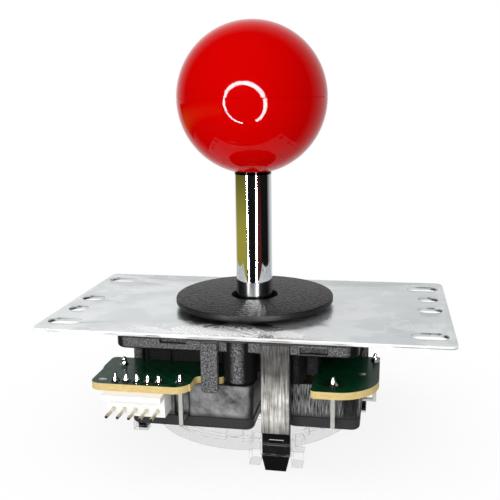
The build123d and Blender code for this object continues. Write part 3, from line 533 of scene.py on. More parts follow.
def spun(shape, points, steps, x=0, y=0):
    """Turn a profile of (radius, height) points once round an upright axis."""
    verts = [shape.verts.new((x + radius, y, height)) for radius, height in points]
    edges = [shape.edges.new(pair) for pair in zip(verts, verts[1:])]
    bmesh.ops.spin(shape, geom=verts + edges, axis=(0, 0, 1), cent=(x, y, 0), angle=2 * pi, steps=steps,
                   use_merge=True)


joints = bmesh.new()
places = [(PIN_FIRST_X + PIN_PITCH * number, PIN_ROW_Y) for number in range(PIN_COUNT)]
for x, y in TERMINAL_PLACES:
    places += [(x, y), (-y, x), (-x, -y), (y, -x)]
for x, y in places:
    spun(joints, [(radius, BOARD_TOP + rise) for radius, rise in FILLET], SOLDER_SIDES, x, y)
blob = bmesh.ops.create_uvsphere(joints, u_segments=SOLDER_SIDES, v_segments=BLOB_RINGS,
                                 radius=BLOB_R)["verts"]
bmesh.ops.translate(joints, vec=(*TERMINAL_PLACES[1], BOARD_TOP + FILLET[-1][1] - BLOB_R), verts=blob)
solder_joints = finished(joints, "solder_joints_bright", bright_solder, "base", "solder_joints")

# Bare pads and vias: rings of tinned and gilt copper that the mask leaves open
metals = {"solder": bright_solder, "gold": gold_wire}
for name, metal, x, y, length, width in PADS:
    pad = bmesh.new()
    spun(pad, PAD_PROFILE, SOLDER_SIDES)
    bmesh.ops.scale(pad, vec=(length, width, 1), verts=pad.verts)
    bmesh.ops.translate(pad, vec=(x, y, BOARD_TOP), verts=pad.verts)
    finished(pad, name, metals[metal], "base")


# Restrictor gate. Clear polycarbonate tray snapped under the switches, with a square opening that
# stops the actuator. It bends the white around it into grey edges, and that grey is painted on.
CLEAR_TINT = "FBFCFB"
CLEAR_EDGE_SHADE = "8E928E"
GATE_FLOW = 6.0
FLOW_DEPTH = 0.3
GATE_SHADE_BREAKUP = 2.2
GATE_EDGE = 0.4
EDGE_SAMPLES = 16

# Clear polycarbonate: almost unseen on its faces, with painted grey shade along its edges, broken up
# in patches. Its IOR is below the usual 1.58, because thin walls hardly bend what is seen through them
clear_polycarbonate = new_material("clear_polycarbonate")
tree = clear_polycarbonate.node_tree
place = add(tree, "TexCoord")
flow = add(tree, "TexNoise", {"Scale": per_mm(GATE_FLOW), "Detail": 2}, {"Vector": (place, "Object")})
softened = add(tree, "Bevel", {"Radius": GATE_EDGE * MM, "samples": EDGE_SAMPLES})
facing = add(tree, "NewGeometry")
alike = add(tree, "VectorMath", {"operation": "DOT_PRODUCT"}, {0: (softened, 0), 1: (facing, "Normal")})
rim = add(tree, "MapRange", {"From Min": 0.99, "From Max": 0.85}, {"Value": (alike, "Value")})
shade_breakup = add(tree, "TexNoise", {"Scale": per_mm(GATE_SHADE_BREAKUP), "Detail": 3}, {"Vector": (place, "Object")})
shade_patches = add(tree, "MapRange", {"From Min": 0.35, "From Max": 0.65, "To Min": 0.15},
            {"Value": (shade_breakup, "Fac")})
edge = add(tree, "Math", {"operation": "MULTIPLY"}, {0: (rim, 0), 1: (shade_patches, 0)})
# Painted shade: grey where the surface rounds over at its edges
edge_shade_tint = add(tree, "Mix", {"data_type": "RGBA", 6: linear(CLEAR_TINT), 7: linear(CLEAR_EDGE_SHADE)},
           {0: (edge, 0)})
solid = add(tree, "MapRange", {"To Min": 0.2, "To Max": 0.92}, {"Value": (edge, 0)})
bump = add(tree, "Bump", {"Strength": 0.2, "Distance": FLOW_DEPTH * MM}, {"Height": (flow, "Fac")})
passing = add(tree, "MapRange", {"To Min": 1, "To Max": 0.2}, {"Value": (edge, 0)})
shader = add(tree, "BsdfPrincipled", {"IOR": 1.25, "Roughness": 0.03},
             {"Base Color": (edge_shade_tint, 2), "Alpha": (solid, 0), "Transmission Weight": (passing, 0),
              "Normal": (bump, 0)})
add(tree, "OutputMaterial", links={"Surface": (shader, 0)})
dress(clear_polycarbonate, "restrictor_gate")


# Mounting plate. Zinc-plated steel sheet with punched slots for the panel bolts, still under its
# clear protective film, which has gone milky in patches and crinkled where the washer rubs it, the
# crinkles picked out in painted white glints.
PLATE_LENGTH = 95.0
PLATE_DEPTH = 53.0
PLATE_THICK = 1.0
PLATE_CORNER = 2.0
PLATE_EDGE = 0.2
EDGE_BEND = 0.3
SLOT_WIDTH = 4.6
SLOTS = ((42, 20, 8.0), (42, -20, 8.0), (-42, 20, 8.0), (-42, -20, 8.0), (43, 0, 5.8), (-43, 0, 5.8),
         (43, 9.6, 4.9), (-43, -9.6, 4.9))
SHAFT_HOLE_R = 9.5
SCREW_HOLE_R = 1.52
SCREW_SINK_R = 2.22
SCREW_PLACE = 11.5
ZINC_PALE = "D6DADB"
ZINC_GREY = "BCC1C4"
FILM_WHITE = "FCFDFD"
CLOUD = 14.0
FILM_PATCH = 9.0
FILM_TEAR = 4.0
TEAR_REACH = 6.0
RUB_X = -4.0
RUB_Y = -23.2
RUB_SHAPE = 0.2
RUB_HALF = 2.0
RUB_END = 6.0
CRINKLE = 4.0
CRINKLE_DEPTH = 0.3
RIM = 0.5
BURR = 0.5
BURR_Z = -0.6
BURR_HALF = 0.11
BURR_DARK = "4A4744"
CORNER_STEPS = 8
CORNER_SHARE = 0.999

# Zinc under film: pale clouded metal with milky white patches, and shreds and crinkles in painted white
# glints
zinc_sheet = new_material("zinc_sheet")
tree = zinc_sheet.node_tree
place = add(tree, "TexCoord")
clouds = add(tree, "TexNoise", {"Scale": per_mm(CLOUD), "Detail": 3}, {"Vector": (place, "Object")})
bare = add(tree, "Mix", {"data_type": "RGBA", 6: linear(ZINC_PALE), 7: linear(ZINC_GREY)},
           {0: (clouds, "Fac")})
# Film: faintly milky patches, and crinkles bunched in front of the washer, their folds painted as white
# glints
wander = add(tree, "TexNoise", {"Scale": per_mm(FILM_TEAR), "Detail": 3}, {"Vector": (place, "Object")})
torn = add(tree, "Mix", {"data_type": "VECTOR", 0: TEAR_REACH * MM},
           {4: (place, "Object"), 5: (wander, "Color")})
patches = add(tree, "TexNoise", {"Scale": per_mm(FILM_PATCH), "Detail": 4}, {"Vector": (torn, 1)})
milky = add(tree, "MapRange", {"From Min": 0.5, "From Max": 0.52, "To Max": 0.2},
            {"Value": (patches, "Fac")})
flat = add(tree, "Mapping",
           {"Location": (-RUB_X * RUB_SHAPE * MM, -RUB_Y * MM, 0), "Scale": (RUB_SHAPE, 1, 1)},
           {"Vector": (place, "Object")})
away = add(tree, "VectorMath", {"operation": "LENGTH"}, {0: (flat, 0)})
rubbed = add(tree, "MapRange",
             {"From Min": RUB_HALF * MM, "From Max": RUB_END * MM, "To Min": 1, "To Max": 0},
             {"Value": (away, "Value")})
folds = add(tree, "TexNoise", {"Scale": per_mm(CRINKLE), "Detail": 2, "Distortion": 1.6},
            {"Vector": (place, "Object")})
ridges = add(tree, "Math", {"operation": "SUBTRACT", 1: 0.5}, {0: (folds, "Fac")})
ridge = add(tree, "Math", {"operation": "ABSOLUTE"}, {0: (ridges, 0)})
fold_and_glint = add(tree, "MapRange", {"From Min": 0.01, "From Max": 0.05, "To Min": 1, "To Max": 0.2},
           {"Value": (ridge, 0)})
crinkle_and_glint = add(tree, "Math", {"operation": "MULTIPLY"}, {0: (fold_and_glint, 0), 1: (rubbed, 0)})
# The outer cut edge is painted near white; the slot and hole walls are not
facing = add(tree, "NewGeometry")
normal = add(tree, "SeparateXYZ", links={0: (facing, "Normal")})
upright = add(tree, "Math", {"operation": "ABSOLUTE"}, {0: (normal, "Z")})
steep = add(tree, "MapRange", {"From Min": 0.85, "From Max": 0.4, "To Max": 0.9},
            {"Value": (upright, 0)})
axes = add(tree, "SeparateXYZ", links={0: (place, "Object")})
size_x = add(tree, "Math", {"operation": "ABSOLUTE"}, {0: (axes, "X")})
size_y = add(tree, "Math", {"operation": "ABSOLUTE"}, {0: (axes, "Y")})
at_end = add(tree, "Math", {"operation": "GREATER_THAN", 1: (PLATE_LENGTH / 2 - RIM) * MM},
             {0: (size_x, 0)})
at_side = add(tree, "Math", {"operation": "GREATER_THAN", 1: (PLATE_DEPTH / 2 - RIM) * MM},
              {0: (size_y, 0)})
outside = add(tree, "Math", {"operation": "MAXIMUM"}, {0: (at_end, 0), 1: (at_side, 0)})
cut_edge = add(tree, "Math", {"operation": "MULTIPLY"}, {0: (steep, 0), 1: (outside, 0)})
# Painted glints: white shreds where the crinkles bunch
bunched = add(tree, "Math", {"operation": "MULTIPLY"}, {0: (folds, "Fac"), 1: (rubbed, 0)})
shred_glint = add(tree, "MapRange", {"From Min": 0.3, "From Max": 0.33, "To Max": 0.5},
            {"Value": (bunched, 0)})
shreds_and_glints = add(tree, "Math", {"operation": "MAXIMUM"}, {0: (crinkle_and_glint, 0), 1: (shred_glint, 0)})
film_and_glints = add(tree, "Math", {"operation": "MAXIMUM"}, {0: (shreds_and_glints, 0), 1: (milky, 0)})
white = add(tree, "Math", {"operation": "MAXIMUM"}, {0: (film_and_glints, 0), 1: (cut_edge, 0)})
colour = add(tree, "Mix", {"data_type": "RGBA", 7: linear(FILM_WHITE)}, {0: (white, 0), 6: (bare, 2)})
along = add(tree, "Mapping", {"Scale": (0.1, 0.1, 1)}, {"Vector": (place, "Object")})
specks = add(tree, "TexNoise", {"Scale": per_mm(BURR), "Detail": 3}, {"Vector": (along, 0)})
speck = add(tree, "MapRange", {"From Min": 0.48, "From Max": 0.6, "To Max": 0.75},
            {"Value": (specks, "Fac")})
torn_line = add(tree, "Math", {"operation": "COMPARE", 1: BURR_Z * MM, 2: BURR_HALF * MM},
                {0: (axes, "Z")})
line = add(tree, "Math", {"operation": "MULTIPLY"}, {0: (speck, 0), 1: (torn_line, 0)})
burr = add(tree, "Math", {"operation": "MULTIPLY"}, {0: (line, 0), 1: (cut_edge, 0)})
marked = add(tree, "Mix", {"data_type": "RGBA", 7: linear(BURR_DARK)}, {0: (burr, 0), 6: (colour, 2)})
metal = add(tree, "MapRange", {"To Min": 1, "To Max": 0}, {"Value": (white, 0)})
bump = add(tree, "Bump", {"Strength": 0.25, "Distance": CRINKLE_DEPTH * MM}, {"Height": (crinkle_and_glint, 0)})
gloss = add(tree, "MapRange", {"To Min": 0.2, "To Max": 0.32}, {"Value": (clouds, "Fac")})
shader = add(tree, "BsdfPrincipled", links={"Base Color": (marked, 2), "Metallic": (metal, 0),
                                            "Roughness": (gloss, 0), "Normal": (bump, 0)})
add(tree, "OutputMaterial", links={"Surface": (shader, 0)})
dress(zinc_sheet, "plate_screws")


def rounded(shape, x, y, length, width, corner, z):
    """Closed loop of edges, lying flat, with rounded corners that stop just short of each other."""
    verts = bmesh.ops.create_grid(shape, x_segments=1, y_segments=1, size=0.5)["verts"]
    bmesh.ops.scale(shape, vec=(length, width, 1), verts=verts)
    bmesh.ops.translate(shape, vec=(x, y, z), verts=verts)
    corners = bmesh.ops.bevel(shape, geom=verts, offset=corner * CORNER_SHARE, affect="VERTICES",
                              segments=CORNER_STEPS, profile=0.5, material=-1)
    face = corners["verts"][0].link_faces[0]
    loop = list(face.edges)
    bmesh.ops.delete(shape, geom=[face], context="FACES_ONLY")
    return loop


def walled(shape, x, y, length, width, corner, wall):
    """Upright wall through loops that grow by given amounts at given heights. Returns its end loops."""
    loops = [rounded(shape, x, y, length + 2 * grow, width + 2 * grow, corner + grow, z)
             for grow, z in wall]
    for upper, lower in zip(loops, loops[1:]):
        bmesh.ops.bridge_loops(shape, edges=upper + lower)
    return loops[0], loops[-1]


# A broken edge bends once, close to a quarter round, at a share of its width from the outline
bend = PLATE_EDGE * EDGE_BEND
broken_edge = ((PLATE_EDGE, 0), (bend, -bend), (0, -PLATE_EDGE), (0, PLATE_EDGE - PLATE_THICK),
               (bend, bend - PLATE_THICK), (PLATE_EDGE, -PLATE_THICK))
sink = ((SCREW_SINK_R - SCREW_HOLE_R, 0), (0, SCREW_HOLE_R - SCREW_SINK_R), (0, -PLATE_THICK))
sheet = bmesh.new()
outline = [(-grow, z) for grow, z in broken_edge]
ends = [walled(sheet, 0, 0, PLATE_LENGTH, PLATE_DEPTH, PLATE_CORNER, outline)]
ends.append(walled(sheet, 0, 0, 2 * SHAFT_HOLE_R, 2 * SHAFT_HOLE_R, SHAFT_HOLE_R, broken_edge))
for x, y, length in SLOTS:
    ends.append(walled(sheet, x, y, length, SLOT_WIDTH, SLOT_WIDTH / 2, broken_edge))
for x in (-SCREW_PLACE, SCREW_PLACE):
    for y in (-SCREW_PLACE, SCREW_PLACE):
        ends.append(walled(sheet, x, y, 2 * SCREW_HOLE_R, 2 * SCREW_HOLE_R, SCREW_HOLE_R, sink))
for level in range(2):
    rim = [edge for end in ends for edge in end[level]]
    bmesh.ops.triangle_fill(sheet, edges=rim, use_beauty=True, normal=(0, 0, 1))
plate = finished(sheet, "mounting_plate_punched", zinc_sheet, "base", "mounting_plate")


# Dust washer. A flat disc of black polypropylene that slides with the lever and hides the hole,
# moulded with a leather grain on top and a plain round edge.
WASHER_R = 19.6
WASHER_HOLE_R = 5.8
WASHER_LOW = 0.9
WASHER_HIGH = 2.6
WASHER_EDGE = 0.3
WASHER_UNDERCUT = 0.5
WASHER_BLACK = "131314"
LEATHER = 0.8
LEATHER_SWAY = 1.5
SWAY_REACH = 0.6
LEATHER_DEPTH = 0.2
WASHER_SIDES = 128

# Polypropylene: soft black, pebbled like leather on top
washer_plastic = new_material("washer_plastic")
tree = washer_plastic.node_tree
place = add(tree, "TexCoord")
wander = add(tree, "TexNoise", {"Scale": per_mm(LEATHER_SWAY), "Detail": 1},
             {"Vector": (place, "Object")})
swayed = add(tree, "Mix", {"data_type": "VECTOR", 0: SWAY_REACH * MM},
             {4: (place, "Object"), 5: (wander, "Color")})
pebbles = add(tree, "TexVoronoi", {"feature": "SMOOTH_F1", "Scale": per_mm(LEATHER), "Smoothness": 0.5},
              {"Vector": (swayed, 1)})
facing = add(tree, "NewGeometry")
normal = add(tree, "SeparateXYZ", links={0: (facing, "Normal")})
on_top = add(tree, "Math", {"operation": "GREATER_THAN", 1: 0.9}, {0: (normal, "Z")})
bump = add(tree, "Bump", {"Distance": LEATHER_DEPTH * MM, "invert": True},
           {"Strength": (on_top, 0), "Height": (pebbles, "Distance")})
gloss = add(tree, "MapRange", {"From Max": 0.7, "To Min": 0.32, "To Max": 0.5},
            {"Value": (pebbles, "Distance")})
shader = add(tree, "BsdfPrincipled",
             {"Base Color": linear(WASHER_BLACK), "IOR": 1.5, "Specular IOR Level": 0.2},
             {"Roughness": (gloss, 0), "Normal": (bump, 0)})
add(tree, "OutputMaterial", links={"Surface": (shader, 0)})

disc = bmesh.new()
spun(disc, [
    (WASHER_HOLE_R, WASHER_LOW),
    (WASHER_HOLE_R, WASHER_HIGH - WASHER_EDGE / 2),
    (WASHER_HOLE_R + WASHER_EDGE / 2, WASHER_HIGH),
    (WASHER_R - WASHER_EDGE, WASHER_HIGH),
    (WASHER_R - WASHER_EDGE * EDGE_BEND, WASHER_HIGH - WASHER_EDGE * EDGE_BEND),
    (WASHER_R, WASHER_HIGH - WASHER_EDGE),
    (WASHER_R, WASHER_LOW + WASHER_UNDERCUT),
    (WASHER_R - WASHER_UNDERCUT, WASHER_LOW),
    (WASHER_HOLE_R, WASHER_LOW),
], WASHER_SIDES)
washer = finished(disc, "dust_washer_grained", washer_plastic, "base", "dust_washer")


# Shaft. Turned steel bar, ground and bright chromed, with a threaded stud for the ball and a
# slimmer spindle below the plate for the pivot, the actuator and the retaining ring. Its top, just
# under the ball, is painted dark as the shade where it meets the ball.
CHROME = "DDDFE1"
NECK_SHADE = "15181A"
NECK_LOW = 32.75
GRIND_LINE = 1.0
GRIND_DEPTH = 0.1

# Chrome: a mirror with a slight waver from its grinding, coarser than real so as to show, and a band
# of painted shade at its top, under the ball
bright_chrome = new_material("bright_chrome")
tree = bright_chrome.node_tree
place = add(tree, "TexCoord")
grind = add(tree, "Mapping", {"Scale": (1, 1, 0.1)}, {"Vector": (place, "Object")})
waver = add(tree, "TexNoise", {"Scale": per_mm(GRIND_LINE), "Detail": 2}, {"Vector": (grind, 0)})
bump = add(tree, "Bump", {"Strength": 0.08, "Distance": GRIND_DEPTH * MM}, {"Height": (waver, "Fac")})
axes = add(tree, "SeparateXYZ", links={0: (place, "Object")})
# Painted shade: the band just under the ball is dark
neck_shade = add(tree, "Math", {"operation": "GREATER_THAN", 1: NECK_LOW * MM}, {0: (axes, "Z")})
colour = add(tree, "Mix", {"data_type": "RGBA", 6: linear(CHROME), 7: linear(NECK_SHADE)}, {0: (neck_shade, 0)})
shader = add(tree, "BsdfPrincipled", {"Metallic": 1, "Roughness": 0.05},
             {"Base Color": (colour, 2), "Normal": (bump, 0)})
add(tree, "OutputMaterial", links={"Surface": (shader, 0)})
dress(bright_chrome, "shaft")


# Ball insert. A turned brass bush, moulded into the ball from below, that screws onto the shaft's
# stud.
BRASS = "C9A558"
TURNING_LINE = 0.3

# Brass: yellow metal with turning lines in its gloss, coarser than real so as to show
turned_brass = new_material("turned_brass")
tree = turned_brass.node_tree
place = add(tree, "TexCoord")
lines = add(tree, "TexNoise", {"Scale": per_mm(TURNING_LINE), "Detail": 2},
            {"Vector": (place, "Object")})
gloss = add(tree, "MapRange", {"To Min": 0.2, "To Max": 0.36}, {"Value": (lines, "Fac")})
shader = add(tree, "BsdfPrincipled", {"Base Color": linear(BRASS), "Metallic": 1},
             {"Roughness": (gloss, 0)})
add(tree, "OutputMaterial", links={"Surface": (shader, 0)})
dress(turned_brass, "ball_insert")


# Ball top. A 36 mm ball of polished red phenolic, moulded in two halves and buffed, so that only a
# hair line is left round its middle.
BALL_R = 18.0
BALL_Z = 50.75
BALL_FLAT_R = 5.2
BALL_HOLE_R = 4.62
BALL_HOLE_DEPTH = 11.0
PARTING = 0.1
BALL_RED = "CC0101"
BUFFING = 9.0
UPPER_STEPS = 40
LOWER_STEPS = 32
BALL_SIDES = 112

# Phenolic: deep red under a wet gloss that the buffing left slightly uneven
ball_phenolic = new_material("ball_phenolic")
tree = ball_phenolic.node_tree
place = add(tree, "TexCoord")
buffing = add(tree, "TexNoise", {"Scale": per_mm(BUFFING), "Detail": 3}, {"Vector": (place, "Object")})
gloss = add(tree, "MapRange", {"To Min": 0.02, "To Max": 0.06}, {"Value": (buffing, "Fac")})
shader = add(tree, "BsdfPrincipled",
             {"Base Color": linear(BALL_RED), "IOR": 1.52, "Specular IOR Level": 0.15},
             {"Roughness": (gloss, 0)})
add(tree, "OutputMaterial", links={"Surface": (shader, 0)})

sphere = bmesh.new()
pole = sphere.verts.new((0, 0, BALL_Z + BALL_R))
half_turn = radians(90) - PARTING / BALL_R
arc = bmesh.ops.spin(sphere, geom=[pole], axis=(0, 1, 0), cent=(0, 0, BALL_Z), angle=half_turn,
                     steps=UPPER_STEPS)
seam_top = arc["geom_last"][0]
seam = sphere.verts.new((BALL_R - PARTING, 0, BALL_Z))
seam_low = sphere.verts.new((seam_top.co.x, 0, 2 * BALL_Z - seam_top.co.z))
foot_turn = pi - asin(BALL_FLAT_R / BALL_R) - radians(90) - PARTING / BALL_R
arc = bmesh.ops.spin(sphere, geom=[seam_low], axis=(0, 1, 0), cent=(0, 0, BALL_Z), angle=foot_turn,
                     steps=LOWER_STEPS)
foot = arc["geom_last"][0]
inner_foot = sphere.verts.new((BALL_HOLE_R, 0, foot.co.z))
hole_end = sphere.verts.new((BALL_HOLE_R, 0, foot.co.z + BALL_HOLE_DEPTH))
hole_middle = sphere.verts.new((0, 0, foot.co.z + BALL_HOLE_DEPTH))
for pair in ((seam_top, seam), (seam, seam_low), (foot, inner_foot), (inner_foot, hole_end),
             (hole_end, hole_middle)):
    sphere.edges.new(pair)
bmesh.ops.spin(sphere, geom=sphere.verts[:] + sphere.edges[:], axis=(0, 0, 1), cent=(0, 0, 0),
               angle=2 * pi, steps=BALL_SIDES, use_merge=True)
ball = finished(sphere, "ball_top_polished", ball_phenolic, "lever", "ball_top")


# Floor. A round of plain white paper that the lever stands on. It is seen as white, and keeps a soft
# shadow.
FLOOR_WHITE = "F4F4F4"
SHADOW_SHARE = 0.13
SHADOW_NEAR = 45.0
FLOOR_R = 86.0
FLOOR_SIDES = 96
FLOOR_GAP = 0.2

# Paper: white to the eye, with a share of real shadow near the lever
floor_paper = new_material("floor_paper")
tree = floor_paper.node_tree
path = add(tree, "LightPath")
mirrored = add(tree, "Math", {"operation": "MAXIMUM"},
               {0: (path, "Is Camera Ray"), 1: (path, "Is Glossy Ray")})
seen = add(tree, "Math", {"operation": "MAXIMUM"}, {0: (mirrored, 0), 1: (path, "Is Transmission Ray")})
place = add(tree, "TexCoord")
away = add(tree, "VectorMath", {"operation": "LENGTH"}, {0: (place, "Object")})
plain = add(tree, "MapRange",
            {"From Min": SHADOW_NEAR * MM, "From Max": FLOOR_R * MM, "To Min": 1 - SHADOW_SHARE},
            {"Value": (away, "Value")})
share = add(tree, "Math", {"operation": "MULTIPLY"}, {0: (seen, 0), 1: (plain, 0)})
paper = add(tree, "BsdfDiffuse", {"Color": linear(FLOOR_WHITE)})
white = add(tree, "Emission", {"Strength": 1})
surface = add(tree, "MixShader", links={0: (share, 0), 1: (paper, 0), 2: (white, 0)})
add(tree, "OutputMaterial", links={"Surface": (surface, 0)})

sweep = bmesh.new()
bmesh.ops.create_circle(sweep, cap_ends=True, segments=FLOOR_SIDES, radius=FLOOR_R * MM)
bmesh.ops.translate(sweep, vec=(0, 0, cad_box[0].z - FLOOR_GAP * MM), verts=sweep.verts)
floor_mesh = bpy.data.meshes.new("floor")
sweep.to_mesh(floor_mesh)
sweep.free()
floor_mesh.materials.append(floor_paper)
floor = bpy.data.objects.new("floor", floor_mesh)
floor.visible_glossy = False
bpy.context.scene.collection.objects.link(floor)


# Room. White paper hangs behind the lever and the room in front of it is dark, and gloss mirrors both.
# Soft light comes from all round, and what is seen past the lever is plain white.
AMBIENT = 0.5
ROOM_DARK = 0.012
ROOM_EDGE = 0.3
PAPER_EDGE = 0.82
PAPER_GLOW = 1.02
FALL_FROM = -0.3
FALL_TO = 0.5
FALL_SHARE = 0.75

world = bpy.data.worlds.new("studio")
world.use_nodes = True
bpy.context.scene.world = world
tree = world.node_tree
tree.nodes.clear()
path = add(tree, "LightPath")
mirrored = add(tree, "Math", {"operation": "MAXIMUM"},
               {0: (path, "Is Camera Ray"), 1: (path, "Is Glossy Ray")})
seen = add(tree, "Math", {"operation": "MAXIMUM"}, {0: (mirrored, 0), 1: (path, "Is Transmission Ray")})
place = add(tree, "TexCoord")
axes = add(tree, "SeparateXYZ", links={0: (place, "Generated")})
backdrop = add(tree, "MapRange",
               {"From Min": ROOM_EDGE, "From Max": PAPER_EDGE,
                "To Min": ROOM_DARK, "To Max": PAPER_GLOW},
               {"Value": (axes, "Y")})
falling = add(tree, "MapRange",
              {"From Min": FALL_FROM, "From Max": FALL_TO, "To Min": 1, "To Max": FALL_SHARE},
              {"Value": (axes, "X")})
mirrored_sky = add(tree, "Math", {"operation": "MULTIPLY"}, {0: (backdrop, 0), 1: (falling, 0)})
shown = add(tree, "Mix", {"data_type": "FLOAT", 2: 1},
            {0: (path, "Is Glossy Ray"), 3: (mirrored_sky, 0)})
level = add(tree, "Mix", {"data_type": "FLOAT", 2: AMBIENT}, {0: (seen, 0), 3: (shown, 0)})
sky = add(tree, "Background", {"Color": (1, 1, 1, 1)}, {"Strength": (level, 0)})
add(tree, "OutputWorld", links={"Surface": (sky, 0)})


# Camera. It stands before the lever and to the right, as high as the ball, and looks down on the plate
# at the photograph's angle and with its angle of view.
CAMERA_AT = (32.11, -175.0, 50.88)
CAMERA_YAW = -10.72
CAMERA_PITCH = 11.77
CAMERA_ROLL = 0.87
FOCAL_PIXELS = 732.18
IMAGE_PIXELS = 500
SENSOR = 36
NEAR_CLIP = 10.0

yaw, pitch, roll = (radians(angle) for angle in (CAMERA_YAW, CAMERA_PITCH, CAMERA_ROLL))
forward = Vector((sin(yaw) * cos(pitch), cos(yaw) * cos(pitch), -sin(pitch)))
level_right = forward.cross(Vector((0, 0, 1))).normalized()
level_down = forward.cross(level_right)
right = cos(roll) * level_right + sin(roll) * level_down
up = sin(roll) * level_right - cos(roll) * level_down
lens = bpy.data.cameras.new("camera")
lens.sensor_width = SENSOR
lens.lens = FOCAL_PIXELS / IMAGE_PIXELS * SENSOR
lens.clip_start = NEAR_CLIP * MM
camera = bpy.data.objects.new("camera", lens)
turning = Matrix((right, up, -forward)).transposed()
stand = Matrix.Translation(Vector(CAMERA_AT) * MM) @ turning.to_4x4()
camera.matrix_world = stand
bpy.context.scene.collection.objects.link(camera)
bpy.context.scene.camera = camera


# Studio lights. A broad soft box overhead, another at the lens, and a ring lamp round the lens, which
# the ball and the chrome mirror. The ring has a gap at its foot for its stand.
RING_R = 110.0
RING_WIDTH = 18.0
RING_SHIFT = (-46.0, -46.0)
RING_GAP = (265, 308)
RING_GLOW = 70
RING_STEPS = 64
BOXES = (("top_box", (-60, 20, 500), 400, 0.9), ("lens_box", (-20, -260, 60), 200, 0.45))

# The boxes face the plate's middle, and gloss doesn't mirror them
for name, spot, size, power in BOXES:
    lamp = bpy.data.lights.new(name, "AREA")
    lamp.size = size * MM
    lamp.energy = power
    box = bpy.data.objects.new(name, lamp)
    box.location = Vector(spot) * MM
    box.rotation_euler = (-Vector(spot)).to_track_quat("-Z", "Y").to_euler()
    box.visible_glossy = False
    bpy.context.scene.collection.objects.link(box)

# Lamp tube: a bright white glow that lets what is behind it through
ring_glow = new_material("ring_glow")
tree = ring_glow.node_tree
glow = add(tree, "Emission", {"Strength": RING_GLOW})
clear = add(tree, "BsdfTransparent")
tube = add(tree, "AddShader", links={0: (glow, 0), 1: (clear, 0)})
add(tree, "OutputMaterial", links={"Surface": (tube, 0)})

band = bmesh.new()
inner = band.verts.new((RING_R - RING_WIDTH / 2, 0, 0))
outer = band.verts.new((RING_R + RING_WIDTH / 2, 0, 0))
rail = band.edges.new((inner, outer))
bmesh.ops.rotate(band, verts=band.verts, cent=(0, 0, 0),
                 matrix=Matrix.Rotation(radians(RING_GAP[1]), 3, "Z"))
bmesh.ops.spin(band, geom=[inner, outer, rail], axis=(0, 0, 1), cent=(0, 0, 0),
               angle=radians(360 - RING_GAP[1] + RING_GAP[0]), steps=RING_STEPS)
bmesh.ops.translate(band, vec=(*RING_SHIFT, 0), verts=band.verts)
bmesh.ops.scale(band, vec=(MM, MM, MM), verts=band.verts)
bmesh.ops.transform(band, matrix=stand, verts=band.verts)


def studio(shape, name, material, *mirrors):
    """Stage object that only gloss mirrors, and only that of certain pieces where some are named."""
    mesh = bpy.data.meshes.new(name)
    shape.to_mesh(mesh)
    shape.free()
    mesh.materials.append(material)
    thing = bpy.data.objects.new(name, mesh)
    thing.visible_camera = False
    thing.visible_diffuse = False
    thing.visible_transmission = False
    thing.visible_shadow = False
    bpy.context.scene.collection.objects.link(thing)
    if mirrors:
        thing.light_linking.receiver_collection = bpy.data.collections.new(name + "_mirrors")
        for piece in mirrors:
            thing.light_linking.receiver_collection.objects.link(piece)


studio(band, "ring_lamp", ring_glow, ball, washer, solder_joints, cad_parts["shaft"])


# Studio flags. Cloths that give the chrome its streaks. A black one hangs behind the lens, and others
# stand round the lever: olive on the left, dark red beside the lens and black on the right.
FLAG_BLACK = "101010"
FLAG_OLIVE = "8F8838"
FLAG_RED = "4A1C18"
FLAG_R = 600.0
FLAG_BAND = (-230.0, 20.0)
FLAG_FULL = (-500.0, 420.0)
FLAG_STEPS = 8
LENS_FLAG_SIDES = 32
LENS_FLAG_BACK = 20.0
CLOTH_GLOW = 1.5


def cloth(name, code, span):
    """Plain matt cloth that falls off into the dark at its top and bottom."""
    material = new_material(name)
    tree = material.node_tree
    place = add(tree, "TexCoord")
    axes = add(tree, "SeparateXYZ", links={0: (place, "Object")})
    away = add(tree, "Math", {"operation": "SUBTRACT", 1: sum(span) / 2 * MM}, {0: (axes, "Z")})
    far = add(tree, "Math", {"operation": "ABSOLUTE"}, {0: (away, 0)})
    lit = add(tree, "MapRange",
              {"interpolation_type": "SMOOTHSTEP", "From Min": (span[1] - span[0]) / 2 * MM,
               "From Max": 0, "To Max": CLOTH_GLOW}, {"Value": (far, 0)})
    matt = add(tree, "Emission", {"Color": linear(code)}, {"Strength": (lit, 0)})
    add(tree, "OutputMaterial", links={"Surface": (matt, 0)})
    return material


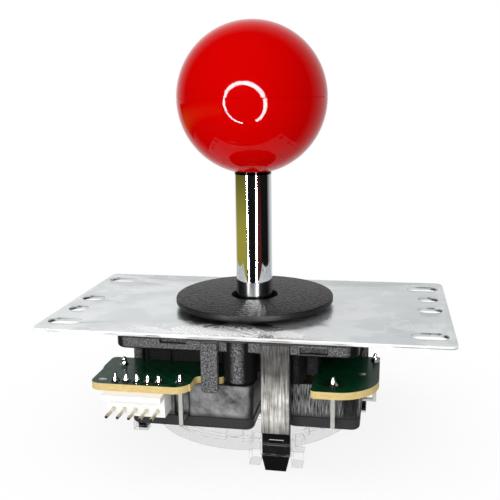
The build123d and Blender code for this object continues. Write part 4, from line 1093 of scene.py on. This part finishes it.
black_cloth = cloth("black_cloth", FLAG_BLACK, FLAG_FULL)
shade = bmesh.new()
bmesh.ops.create_circle(shade, cap_ends=True, segments=LENS_FLAG_SIDES, radius=RING_R - RING_WIDTH)
bmesh.ops.translate(shade, vec=(*RING_SHIFT, LENS_FLAG_BACK), verts=shade.verts)
bmesh.ops.scale(shade, vec=(MM, MM, MM), verts=shade.verts)
bmesh.ops.transform(shade, matrix=stand, verts=shade.verts)
studio(shade, "lens_flag", black_cloth)
for name, material, start, turn, span in (
        ("left_flag", cloth("olive_cloth", FLAG_OLIVE, FLAG_BAND), -217, 92, FLAG_BAND),
        ("near_flag", cloth("red_cloth", FLAG_RED, FLAG_BAND), -56, 24, FLAG_BAND),
        ("right_flag", black_cloth, -32, 50, FLAG_FULL)):
    hanging = bmesh.new()
    lower = hanging.verts.new((FLAG_R * MM, 0, span[0] * MM))
    upper = hanging.verts.new((FLAG_R * MM, 0, span[1] * MM))
    hem = hanging.edges.new((lower, upper))
    bmesh.ops.rotate(hanging, verts=hanging.verts, cent=(0, 0, 0),
                     matrix=Matrix.Rotation(radians(start), 3, "Z"))
    bmesh.ops.spin(hanging, geom=[lower, upper, hem], axis=(0, 0, 1), cent=(0, 0, 0),
                   angle=radians(turn), steps=FLAG_STEPS)
    studio(hanging, name, material)


# White tent. Thin cloth over the front and the sides, which only the plate, its screws and the
# terminals mirror. They stay pale from every side, while ball and chrome keep their dark room.
TENT_R = 500.0
TENT_SIDES = 48
TENT_RINGS = 24

# Tent cloth: an even white glow that fades out towards the back
tent_cloth = new_material("tent_cloth")
tree = tent_cloth.node_tree
place = add(tree, "TexCoord")
axes = add(tree, "SeparateXYZ", links={0: (place, "Object")})
lit = add(tree, "MapRange",
          {"From Min": ROOM_EDGE * TENT_R * MM, "From Max": PAPER_EDGE * TENT_R * MM,
           "To Min": 1, "To Max": 0},
          {"Value": (axes, "Y")})
white = add(tree, "Emission", links={"Strength": (lit, 0)})
clear = add(tree, "BsdfTransparent")
thin = add(tree, "AddShader", links={0: (white, 0), 1: (clear, 0)})
add(tree, "OutputMaterial", links={"Surface": (thin, 0)})

dome = bmesh.new()
bmesh.ops.create_uvsphere(dome, u_segments=TENT_SIDES, v_segments=TENT_RINGS, radius=TENT_R * MM)
strips = [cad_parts[f"switch_terminals_{side}"] for side in SIDES]
studio(dome, "white_tent", tent_cloth, plate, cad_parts["plate_screws"], *strips)

bpy.context.scene.view_settings.view_transform = "Standard"
